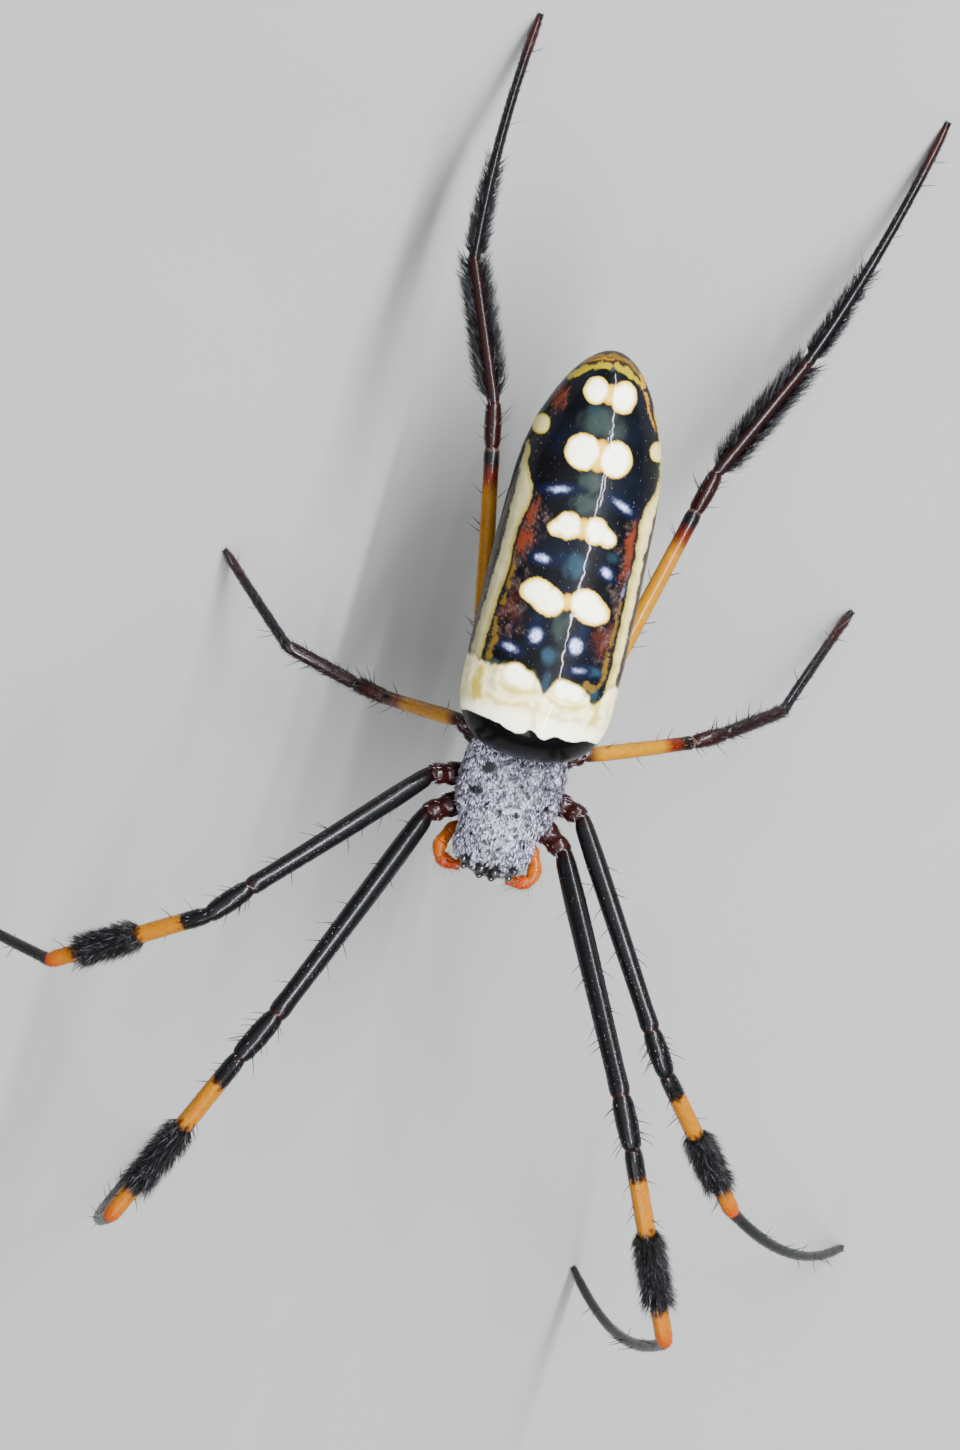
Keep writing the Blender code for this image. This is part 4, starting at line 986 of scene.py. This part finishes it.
def make_underside(shell, soft):
    """Sternum, pedicel, spinnerets, jaws and fangs; returns the skins that carry hair."""
    def sternum_place(row, c, s):
        ahead, half = row
        ridge = 1.0 - 0.1 * np.abs(c) ** 3
        return prosoma_point(half * SNUG * c, ahead, STERNUM_Z + STERNUM_HALF_DEPTH * SNUG * s * ridge)

    hairy = [simple_skin("sternum_skin", flat_rings(STERNUM_OUTLINE, 48, sternum_place), BLACK * 1.6, shell,
                         "black_shell", "sternum")]

    _, top, bottom = carapace_profile(np.array(CARAPACE_REAR))
    start = prosoma_point(0.0, CARAPACE_REAR + 0.05, (top + bottom) / 2.0)
    end = abdomen_point(0.0, PEDICEL_MEETS[0] + 0.15, PEDICEL_MEETS[1] + 0.12)
    path = start + (end - start) * np.linspace(0.0, 1.0, 40)[:, None]
    radii = 0.29 + 0.03 * np.cos(np.linspace(0.0, TURN * 3.0, 40)) + 0.04 * np.linspace(-1.0, 1.0, 40) ** 2
    rings = tube_rings(path, np.repeat(unit(end - start)[None], 40, axis=0), radii, 32)
    simple_skin("pedicel_skin", rings, DARK_RED, shell, "red_shell", "pedicel")

    base = abdomen_point(0.0, SPINNERETS_AT[0], SPINNERETS_AT[1])
    axis, rearward = direction(90.0, -60.0), direction(90.0, 30.0)
    # The collar reaches up into the abdomen's skin
    grids = [cone_rings(base - axis * 0.75, base + axis * 0.58, 0.86, 0.62, 40)]
    for side in (-1.0, 1.0):
        for spread, back, length, radius in ((0.33, -0.3, 1.06, 0.28), (0.34, 0.28, 1.2, 0.26),
                                             (0.14, 0.0, 0.95, 0.15)):
            root = base + axis * 0.28 + rearward * back + np.array((side * spread, 0.0, 0.0))
            way = unit(axis + rearward * (0.45 + back) + np.array((side * 0.16, 0.0, 0.0)))
            grids.append(cone_rings(root, root + way * length, radius, 0.12, 24))
    joined = join([make_skin(grid) for grid in grids])
    joined["colours"] = SPINNERET_BROWN * (1.0 + 0.25 * waves(joined["points"], 0.4, 51))[:, None]
    add_piece("spinnerets_skin", joined, soft, "brown_skin", "spinnerets")
    hairy.append(joined)

    for side_name, side in SIDES:
        def jaw_place(row, c, s):
            down, ahead, half_width, half_depth = row
            x = side * CHELICERA_X + half_width * SNUG * c
            return prosoma_point(x, ahead + half_depth * SNUG * s, down)

        hairy.append(simple_skin("chelicera_%s_skin" % side_name, flat_rings(CHELICERA_RINGS, 40, jaw_place),
                                 BLACK * 1.3, shell, "black_shell", "chelicera_" + side_name))
        path, tangents = smooth_path([prosoma_point(side * x, *place) for x, *place in FANG_PATH], 30)
        radii = np.interp(np.linspace(0.0, 3.0, 30), range(4), FANG_RADII) * SNUG
        simple_skin("fang_%s_skin" % side_name, tube_rings(path, tangents, radii, 24), DEEP_RED * 0.9, shell,
                    "red_shell", "fang_" + side_name)
    return hairy


def cone_rings(base, tip, base_radius, tip_radius, sides):
    """Rings of a rounded blunt cone."""
    t = np.linspace(0.0, 1.0, 18)
    radii = (base_radius + (tip_radius - base_radius) * t ** 1.2) * (1.0 - 0.75 * ease(0.86, 1.0, t) ** 2)
    path = base + (tip - base) * t[:, None]
    return tube_rings(path, np.repeat(unit(tip - base)[None], len(t), axis=0), radii, sides)


def make_palps(shell):
    """The two orange palps with swollen joints; returns their skins."""
    skins = []
    rings, sides = PALP_GRID
    t = np.linspace(0.0, 1.0, rings)
    radii = PALP_R + 0.035 * np.cos(TURN * t * 4.0)
    radii = radii - 0.08 * ease(0.8, 1.0, t) - 0.06 * (1.0 - ease(0.0, 0.2, t))
    for joint in (0.32, 0.47, 0.66):
        radii = radii - 0.035 * ring_share(t, joint, 0.012)
    radii = radii * SNUG * (1.0 - 0.8 * ease(0.95, 1.0, t) ** 2)
    for side_name, side in SIDES:
        path, tangents = smooth_path([prosoma_point(side * x, *place) for x, *place in PALP_PATH], rings)
        grid = tube_rings(path, tangents, radii, sides)
        skin = make_skin(grid, {"t": np.broadcast_to(t[:, None], PALP_GRID)})
        at = skin["fields"]["t"]
        paint = blend(PALP_ORANGE, PALP_RED, ease(0.6, 0.76, at))
        paint = blend(paint, LEG_RED * 0.7, ease(0.92, 1.0, at) * 0.7)
        skin["colours"] = paint * (1.0 + 0.12 * waves(skin["points"], 0.5, 61))[:, None]
        add_piece("palp_%s_skin" % side_name, skin, shell, "palp_shell", "palp_" + side_name)
        skins.append(skin)
    return skins


# Legs

def foot_path(start, first, last, length, count):
    """Centres and tangents of a foot that turns evenly from its first direction to its last one."""
    fine = 60
    t = (np.arange(fine) + 0.5) / fine
    steps = unit(first * (1.0 - t)[:, None] + last * t[:, None]) * (length / fine)
    path = start + np.concatenate((np.zeros((1, 3)), np.cumsum(steps, axis=0)))
    at = np.linspace(0.0, fine, count)
    centres = np.stack([np.interp(at, np.arange(fine + 1), path[:, k]) for k in range(3)], axis=1)
    return centres, unit(np.gradient(centres, axis=0))


def level_foot(start, first, last, length):
    """Trim a foot's pitch until its tip is exactly on the floor."""
    low, high = -30.0, 30.0
    for _ in range(40):
        trim = (low + high) / 2.0
        a = direction(first[0], first[1] + trim)
        b = direction(last[0], last[1] + trim)
        tip = foot_path(start, a, b, length, 2)[0][-1]
        if tip[2] > 0.0:
            high = trim
        else:
            low = trim
    return a, b


def leg_joints(side_name, side, pair):
    """Joints of one leg, from the hip to the tibia's end, and the unit vectors of its segments."""
    hip, knee = (prosoma_point(side * x, *place) for x, *place in (HIP[pair], TROCHANTER[pair]))
    ways = [direction(*angle) for angle in POSE["%s_%d" % (side_name, pair)][:3]]
    joints = [hip, knee]
    for way, lengths in zip(ways, (FEMUR, PATELLA, TIBIA)):
        joints.append(joints[-1] + way * lengths[pair])
    return joints, [unit(knee - hip)] + ways


def leg_skin(side_name, side, pair):
    """One leg's skin from hip to tip; the field seg is 0 coxa, 1 femur, 2 patella, 3 tibia, 4 foot, plus the
    share along it."""
    joints, ways = leg_joints(side_name, side, pair)
    long_foot = FOOT[pair]
    first, last = level_foot(joints[-1], *POSE["%s_%d" % (side_name, pair)][3:], long_foot)
    profiles = ((COXA_PROFILE, COXA_R[pair], 0.0), (FEMUR_PROFILE, FEMUR_R[pair], FEMUR_BOW * FEMUR[pair]),
                (PATELLA_PROFILE, PATELLA_R[pair], PATELLA_BOW), (TIBIA_PROFILE, TIBIA_R[pair], TIBIA_BOW))
    centres, tangents, radii, seg = [], [], [], []
    ways = ways + [first]
    for k, (profile, radius, bow) in enumerate(profiles):
        start, end, along = joints[k], joints[k + 1], ways[k]
        length = np.linalg.norm(end - start)
        count = max(int(length / RING_STEP), 24)
        t = (np.arange(count) + 0.5) / count
        lift = unit(np.array((0.0, 0.0, 1.0)) - along * along[2])
        centres.append(start + (end - start) * t[:, None] + lift * (bow * np.sin(math.pi * t))[:, None])
        # The rings turn to the mitre of the joint at both ends
        reach = radius + 0.1
        into = ease(reach, 0.0, t * length) if k else np.zeros(count)
        out = ease(reach, 0.0, (1.0 - t) * length)
        before = unit(ways[k - 1] + along) if k else along
        after = unit(along + ways[k + 1])
        tangents.append(unit(along + (before - along) * into[:, None] + (after - along) * out[:, None]))
        table = np.array(profile)
        size = np.interp(t, table[:, 0], table[:, 1]) * radius
        radii.append(size * (1.0 - CREASE * ring_share(np.minimum(t, 1.0 - t) * length, 0.0, 0.07)))
        seg.append(k + t)
    count = int(long_foot / RING_STEP)
    path, turned = foot_path(joints[-1], first, last, long_foot, count + 1)
    path, turned = path[1:], turned[1:]
    t = (np.arange(count) + 1.0) / count
    into = ease(0.45, 0.0, t * long_foot)[:, None]
    down = ease(0.35, 0.0, (1.0 - t) * long_foot)[:, None]
    turned = unit(turned * (1.0 - into) + unit(ways[3] + first) * into)
    turned = unit(turned * (1.0 - down) + np.array((0.0, 0.0, -1.0)) * down)
    size = FOOT_R[pair] + (TARSUS_R - FOOT_R[pair]) * ease(0.1, 0.8, t)
    size = size - (TARSUS_R - CLAW_R) * ease(0.9, 1.0, t) + 0.05 * (1.0 - ease(0.0, 0.06, t))
    centres.append(path)
    tangents.append(turned)
    radii.append(size * (1.0 - CREASE * ring_share((t - TARSUS_PLACE) * long_foot, 0.0, 0.08)))
    seg.append(4.0 + t * 0.999)
    centres, tangents, seg = np.concatenate(centres), np.concatenate(tangents), np.concatenate(seg)
    grid = tube_rings(centres, tangents, np.concatenate(radii) * LEG_SNUG, LEG_SIDES)
    grid[..., 2] = np.maximum(grid[..., 2], 0.0)
    grid[-1, :, 2] = 0.0
    outward = unit(grid - centres[:, None, :])
    skin = make_skin(grid, {"seg": np.broadcast_to(seg[:, None], grid.shape[:2]), "top": outward[..., 2],
                            "angle": np.broadcast_to(ring_angles(LEG_SIDES), grid.shape[:2]),
                            "axis": np.broadcast_to(tangents[:, None, :], grid.shape)})
    skin["fields"]["along"] = unit(skin["fields"]["axis"])
    return skin


def layered(t, base, *layers):
    """Colours laid over each other along a leg part: (colour, where it starts, where it is full)."""
    for tint, low, high in layers:
        base = blend(base, tint, ease(low, high, t))
    return base


def paint_leg(skin, pair):
    """Colours of a leg's skin by segment."""
    points, seg = skin["points"], skin["fields"]["seg"]
    ragged = waves(points, 0.35, 70 + pair)
    streak = np.sin(skin["fields"]["angle"] * 9.0 + 2.0 * waves(points, 2.5, 75))
    seg = seg + 0.004 * ragged
    part = np.clip(seg.astype(int), 0, 4)
    t = seg - part
    colour = blend(DARK_RED, BLACK * 1.5, ease(0.3, 0.0, t) * 0.6)
    if pair <= 2:
        femur = layered(t, BLACK * 1.15, (DARK_RED * 0.5, 0.06, 0.0), (DARK_RED * 0.55, 0.985, 1.0))
        patella = layered(t, BLACK * 0.9, (DARK_RED * 0.8, 0.05, 0.0))
        edge = 0.012 * ragged + 0.006 * streak
        bands = ease(0.135, 0.165, t + edge) * ease(0.445, 0.405, t + edge)
        tip = ease(0.8, 0.84, t + edge * 1.5)
        tibia = blend(BLACK, blend(LEG_ORANGE, LEG_YELLOW, 0.5 + 0.4 * streak), bands)
        tibia = blend(tibia, DARK_RED * 1.3, ring_share(t + edge, 0.425, 0.022) * 0.8)
        tibia = blend(tibia, DARK_RED * 1.3, ring_share(t + edge, 0.145, 0.016) * 0.7)
        tibia = blend(tibia, layered(t, LEG_ORANGE, (TIP_RED, 0.9, 1.0)), tip)
        tibia = blend(tibia, DARK_RED * 1.3, ring_share(t + edge, 0.815, 0.016) * 0.7)
        foot = layered(t, BLACK * 1.1, (BLACK * 2.0, 0.2, 0.9))
        foot = blend(LEG_RED * 0.8, foot, ease(0.0, 0.015, t))
    elif pair == 3:
        femur = layered(t, DARK_RED * 1.2, (LEG_YELLOW, 0.02, 0.16), (LEG_RED, 0.66, 0.8),
                        (BLACK * 1.4, 0.8, 0.92))
        femur = blend(femur, MEMBRANE, ring_share(t, 0.995, 0.012) * 0.8)
        patella = blend(DEEP_RED * 1.5, BLACK * 1.5, ease(0.4, 1.0, t) * 0.7)
        tibia = blend(DEEP_RED * 1.3, BLACK * 1.8, 0.5 + 0.3 * ragged)
        foot = layered(t, BLACK * 2.0, (DEEP_RED * 1.5, 0.55, 0.75), (BLACK, 0.93, 1.0))
    else:
        femur = layered(t, DARK_RED * 1.2, (LEG_YELLOW, 0.01, 0.1),
                        (LEG_YELLOW * 0.9 + LEG_RED * 0.25, 0.55, 0.78), (LEG_RED * 0.9, 0.78, 0.88),
                        (BLACK * 1.5, 0.87, 0.95))
        femur = blend(femur, MEMBRANE, ring_share(t, 0.998, 0.006) * 0.8)
        patella = blend(DARK_RED * 0.8, DEEP_RED * 0.9, 0.5 + 0.4 * ragged)
        tibia = blend(DEEP_RED * 1.2, BLACK * 1.3, np.clip(0.35 + 0.3 * ragged, 0.0, 1.0))
        tibia = layered(t, tibia, (DARK_RED * 0.9, 0.9, 1.0))
        foot = layered(t, BLACK * 1.2, (DEEP_RED * 1.8, 0.72, 0.9), (BLACK, 0.97, 1.0))
    for k, tint in enumerate((femur, patella, tibia, foot), start=1):
        colour = np.where((part == k)[:, None], tint, colour)
    for joint in (2.0, 3.0):
        colour = blend(colour, DARK_RED * 0.9, ring_share(seg, joint, 0.01) * 0.8)
    return colour


# Hair of the legs: (pattern, count, stretches as (segment, from, to), lean, length and width as ranges, bend,
# dark and light colour, share of light hairs, spread of the lie)
BRUSH = ((3, 0.42, 0.78),)
BANDED_HAIR = (
    ("rows", 1900, ((1, 0.04, 0.98),), (72, 84), (0.1, 0.18), (0.014, 0.022), 0.1, SILVER_GREY * 0.4,
     SILVER * 0.45, 0.45, 0.1),
    ("even", 160, ((2, 0, 1),), (50, 75), (0.16, 0.3), (0.012, 0.018), 0.1, BLACK, SILVER * 0.4, 0.2, 0.2),
    ("even", 520, ((3, 0.14, 0.43), (3, 0.82, 0.99)), (60, 80), (0.1, 0.22), (0.014, 0.024), 0.1, LEG_ORANGE,
     LEG_YELLOW * 1.8, 0.25, 0.2),
    ("even", 110, ((3, 0, 0.14),), (45, 70), (0.18, 0.34), (0.012, 0.018), 0.1, BLACK, SILVER * 0.4, 0.15,
     0.2),
    ("even", 2300, BRUSH, (30, 56), (0.58, 1), (0.024, 0.036), 0.22, BLACK * 0.5, SILVER_GREY, 0.06, 0.28),
    ("even", 90, BRUSH, (40, 62), (0.7, 1.05), (0.012, 0.016), 0.15, SILVER_GREY, SILVER * 0.6, 0.7, 0.3),
    ("even", 500, BRUSH, (50, 72), (0.4, 0.7), (0.034, 0.048), 0.15, BLACK * 0.5, SILVER_GREY, 0.03, 0.25),
    ("even", 800, ((4, 0.01, 0.98),), (48, 72), (0.14, 0.26), (0.014, 0.022), 0.15, BLACK, SILVER_GREY * 0.5,
     0.06, 0.2),
)
SHORT_LEG_HAIR = (
    ("even", 200, ((1, 0.05, 0.98),), (55, 78), (0.12, 0.26), (0.013, 0.02), 0.1, LEG_YELLOW, CREAM, 0.12,
     0.2),
    ("even", 520, ((3, 0, 1), (2, 0, 1)), (40, 68), (0.2, 0.42), (0.02, 0.032), 0.15, BLACK * 1.5,
     SILVER_GREY, 0.2, 0.2),
    ("even", 620, ((4, 0.01, 0.98),), (48, 72), (0.14, 0.28), (0.018, 0.028), 0.15, BLACK * 1.5,
     SILVER_GREY, 0.15, 0.2),
)
HIND_LEG_HAIR = (
    ("even", 260, ((1, 0.03, 0.98),), (55, 78), (0.1, 0.22), (0.013, 0.02), 0.1, LEG_YELLOW, CREAM, 0.12,
     0.2),
    ("swell", 2300, ((3, 0.04, 0.98),), (32, 56), (0.75, 1.2), (0.028, 0.042), 0.25, BLACK, SILVER_GREY, 0.1,
     0.3),
    ("near", 1300, ((4, 0.03, 0.4),), (34, 58), (0.45, 0.85), (0.026, 0.04), 0.25, BLACK, SILVER_GREY, 0.1,
     0.3),
    ("even", 600, ((4, 0.3, 0.98),), (48, 72), (0.16, 0.3), (0.018, 0.028), 0.15, BLACK * 1.5, SILVER_GREY,
     0.12, 0.2),
    ("even", 110, ((2, 0, 1),), (45, 70), (0.16, 0.3), (0.012, 0.018), 0.1, BLACK, SILVER * 0.4, 0.2, 0.2),
)
LEG_HAIR = {1: BANDED_HAIR, 2: BANDED_HAIR, 3: SHORT_LEG_HAIR, 4: HIND_LEG_HAIR}
COXA_HAIR = ("even", 90, ((0, 0.35, 1),), (45, 75), (0.16, 0.34), (0.014, 0.022), 0.1, SILVER_GREY * 0.3,
             SILVER, 0.35, 0.2)
SPINES = {1: 12, 2: 12, 3: 8, 4: 8}     # on each segment of a leg


def leg_hair(name, skin, pair, number, hair_look):
    """All hair and spines of one leg, denser and longer in its brushes."""
    draw = np.random.default_rng(200 + number)
    seg, top, angle = (skin["fields"][key] for key in ("seg", "top", "angle"))
    side_hair = ease(0.8, 0.35, top)
    swell = np.sin(math.pi * np.clip((seg - 3.02) / 0.96, 0.0, 1.0)) ** 0.5
    patterns = {"even": 1.0, "rows": np.clip(np.cos(angle * 8.0), 0.0, 1.0) ** 5 + 0.03,
                "swell": side_hair * (0.4 + 0.6 * swell),
                "near": side_hair * (0.25 + np.clip(1.0 - (seg - 4.05) / 0.36, 0.0, 1.0)),
                "flanks": ease(0.9, 0.5, np.abs(top))}
    spines = tuple(("flanks", SPINES[pair], ((k, 0.08, 0.9),), (25, 48), (0.65, 1.05), (0.045, 0.06), 0.08,
                    BLACK, SILVER_GREY, 0.15, 0.25) for k in (1, 2, 3, 4))
    parts = []
    for row in LEG_HAIR[pair] + (COXA_HAIR,) + spines:
        pattern, count, stretches, lean, length, width, bend, dark, light, share, sway = row
        weight = sum(((seg >= k + low) & (seg <= k + high)) * 1.0 for k, low, high in stretches)
        roots = scatter(skin, count, draw, weight * patterns[pattern])
        glints = (draw.random(count) < share) * draw.uniform(0.6, 1.0, count)
        parts.append(needles(roots, draw.uniform(*lean, count), draw.uniform(*length, count),
                             draw.uniform(*width, count), bend, blend(dark, light, glints), draw, sway))
    add_hair(name, parts, hair_look, "brush_hair")


# Claws: (side step, length, thickness), and their bends as (spread, height, share of the length)
CLAWS = ((-0.09, 0.2, 0.04), (0.09, 0.2, 0.04), (0.0, 0.12, 0.032))
CLAW_BENDS = ((1.3, 0.19, 0.55), (1.5, 0.12, 0.95), (1.5, 0.02, 1.0))


def make_claws(name, skin, look):
    """Three small curved claws at the tip of a foot, which rest on the floor."""
    centre = skin["points"][-2 - LEG_SIDES:-2].mean(axis=0)
    back = skin["points"][-2 - 12 * LEG_SIDES:-2 - 11 * LEG_SIDES].mean(axis=0)
    up = np.array((0.0, 0.0, 1.0))
    ahead = unit((centre - back) * (1.0 - up))
    side = np.cross(ahead, up)
    skins = []
    for across, reach, size in CLAWS:
        route = [centre + side * across + up * 0.2 - ahead * 0.02]
        for spread, height, share in CLAW_BENDS:
            route.append(centre + side * across * spread + up * height + ahead * reach * share)
        path, tangents = smooth_path(route, 16)
        radii = size * (1.0 - 0.85 * np.linspace(0.0, 1.0, 16))
        skins.append(make_skin(tube_rings(path, tangents, radii, 12)))
    joined = join(skins)
    joined["points"][:, 2] = np.maximum(joined["points"][:, 2], CLAW_CLEARANCE)
    joined["colours"] = np.broadcast_to(BLACK * 1.5, joined["points"].shape)
    add_piece(name, joined, look, "black_shell")


def make_legs(shell, hair_look):
    """Eight legs, each one skin that stands for its five solids, with its hair and claws."""
    number = 0
    for side_name, side in SIDES:
        for pair in (1, 2, 3, 4):
            name = "leg_%s_%d_" % (side_name, pair)
            skin = leg_skin(side_name, side, pair)
            skin["colours"] = paint_leg(skin, pair)
            add_piece(name + "skin", skin, shell, "banded_shell" if pair <= 2 else "yellow_shell",
                      *(name + part for part in ("coxa", "femur", "patella", "tibia", "foot")))
            leg_hair(name + "hair", skin, pair, number, hair_look)
            make_claws(name + "claws", skin, shell)
            number += 1


# Sparse hair of the body: (count, lean and length as ranges, width, bend, dark and light colour, power and
# upper end of the light share, spread of the lie)
SPARSE_HAIR = {
    "underside": (160, (35, 65), (0.15, 0.36), 0.022, 0.2, BLACK * 2.0, SILVER_GREY, 1, 0.5, 0.4),
    "palp": (420, (35, 65), (0.12, 0.28), 0.014, 0.2, PALP_ORANGE, CREAM, 4, 1, 0.4),
    "palp_tip": (70, (10, 45), (0.45, 0.95), 0.024, 0.25, BLACK * 3.0, CREAM * 0.6, 1, 1, 0.5),
    "abdomen": (2600, (60, 80), (0.1, 0.2), 0.01, 0.2, SILVER_GREY * 0.6, SILVER, 1, 0.6, 0.3),
}


def sparse_hair(kind, skin, draw, weight=None):
    """Sparse hair of one kind on a skin."""
    count, lean, length, width, bend, dark, light, power, most, sway = SPARSE_HAIR[kind]
    roots = scatter(skin, count, draw, weight)
    tints = blend(dark, light, draw.random(count) ** power * most)
    lean, length = draw.uniform(*lean, count), draw.uniform(*length, count)
    return needles(roots, lean, length, width, bend, tints, draw, sway)


def body_hair(underside, palps, abdomen, hair_look):
    """Sparse hair on the jaws, the underside, the palps and the abdomen."""
    draw = np.random.default_rng(301)
    parts = [sparse_hair("underside", skin, draw) for skin in underside]
    for skin in palps:
        parts.append(sparse_hair("palp", skin, draw))
        parts.append(sparse_hair("palp_tip", skin, draw, ease(0.45, 0.7, skin["fields"]["t"])))
    add_hair("body_hair", parts, hair_look, "brush_hair")
    down = sparse_hair("abdomen", abdomen, draw, ease(0.4, 1.2, abdomen["fields"]["v"]))
    add_hair("abdomen_down", [down], hair_look, "brush_hair")


# Studio

VIEW_BACK = Vector((-0.0872, 0.1219, 0.9887)).normalized()   # from the spider to the camera
VIEW_UP = Vector((-0.2278, 0.9637, -0.1389))
CAMERA_FROM_BODY = Vector((-37.16, 49.98, 395.13))
LENS = 208.15                 # on a sensor whose long side is 36 mm
LOOK_AT = Vector((1.0, 2.0, 12.0))
BODY_AXIS = Vector((0.0, 1.0, -0.12))
FLOOR_HALF = 1500.0
# Lights: direction from the spider (bearing, pitch), distance, width, length, power in watts, colour
LIGHTS = {
    "key": (8.0, 71.0, 420.0, 10.0, 720.0, 7.6, (0.96, 0.98, 1.0)),
    "rear": (69.0, 36.0, 420.0, 10.0, 520.0, 4.5, (0.96, 0.98, 1.0)),
    "soft_head": (-100.0, 36.0, 520.0, 160.0, 160.0, 0.7, (1.0, 0.99, 0.97)),
}
# The soft light from all round: brightness of the sky against the height of its direction
SKY = ((0.0, 0.18), (0.3, 0.26), (0.55, 0.7), (0.8, 1.6), (1.0, 2.0))
SKY_COLOUR = (0.94, 0.97, 1.0, 1.0)


def make_floor():
    """A plain pale floor."""
    look, tree, shader = new_look("pale_floor")
    two_tone(tree, shader, noise(tree, 60.0, 3.0), *FLOOR_TONES)
    shader.inputs["Roughness"].default_value = 0.75
    corners = np.array(((-1, -1, 0), (1, -1, 0), (1, 1, 0), (-1, 1, 0))) * FLOOR_HALF
    add_mesh("floor", corners, np.array(((0, 1, 2), (0, 2, 3))), look)


def make_lights():
    """Long soft lamps that lie along the body."""
    for name, (bearing, pitch, distance, width, length, power, colour) in LIGHTS.items():
        lamp = bpy.data.lights.new(name, "AREA")
        lamp.shape = "RECTANGLE"
        lamp.size = width * MM
        lamp.size_y = length * MM
        lamp.energy = power
        lamp.color = colour
        thing = bpy.data.objects.new(name, lamp)
        bpy.context.collection.objects.link(thing)
        way = Vector(direction(bearing, pitch))
        along = (BODY_AXIS - way * way.dot(BODY_AXIS)).normalized()
        turn = Matrix((along.cross(way), along, way)).transposed()
        thing.matrix_world = Matrix.Translation((LOOK_AT + way * distance) * MM) @ turn.to_4x4()


def make_sky():
    """Soft light from all round, brighter from above."""
    world = bpy.data.worlds.new("studio")
    bpy.context.scene.world = world
    world.use_nodes = True
    tree = world.node_tree
    background = tree.nodes["Background"]
    background.inputs["Color"].default_value = SKY_COLOUR
    place = add_node(tree, "ShaderNodeTexCoord")
    split = add_node(tree, "ShaderNodeSeparateXYZ")
    tree.links.new(place.outputs["Generated"], split.inputs["Vector"])
    ramp = add_node(tree, "ShaderNodeValToRGB")
    stops = ramp.color_ramp.elements
    while len(stops) < len(SKY):
        stops.new(1.0)
    for stop, (height, strength) in zip(stops, SKY):
        stop.position = height
        stop.color = (strength, strength, strength, 1.0)
    tree.links.new(split.outputs["Z"], ramp.inputs["Fac"])
    tree.links.new(ramp.outputs["Color"], background.inputs["Strength"])


def make_camera():
    """A long lens that looks square down on the back, as in the photo."""
    camera = bpy.data.objects.new("camera", bpy.data.cameras.new("camera"))
    bpy.context.collection.objects.link(camera)
    camera.data.lens = LENS
    camera.data.sensor_fit = "AUTO"
    camera.data.sensor_width = 36.0
    camera.data.clip_start = 0.01
    camera.data.clip_end = 20.0
    right = VIEW_UP.cross(VIEW_BACK).normalized()
    place = Matrix((right, VIEW_BACK.cross(right), VIEW_BACK)).transposed().to_4x4()
    place.translation = (Vector(BODY_AT) + CAMERA_FROM_BODY) * MM
    camera.matrix_world = place
    bpy.context.scene.camera = camera


make_floor()
make_lights()
make_sky()
make_camera()
leg_shell = painted_look("leg_shell")
soft_skin = painted_look("soft_skin")
hair = painted_look("hair")
silver_look = painted_look("silver_look")
abdomen = make_abdomen()
carapace = make_carapace()
silver_coat(carapace, silver_look)
make_eyes()
underside = make_underside(leg_shell, soft_skin)
palps = make_palps(leg_shell)
make_legs(leg_shell, hair)
body_hair(underside, palps, abdomen, hair)
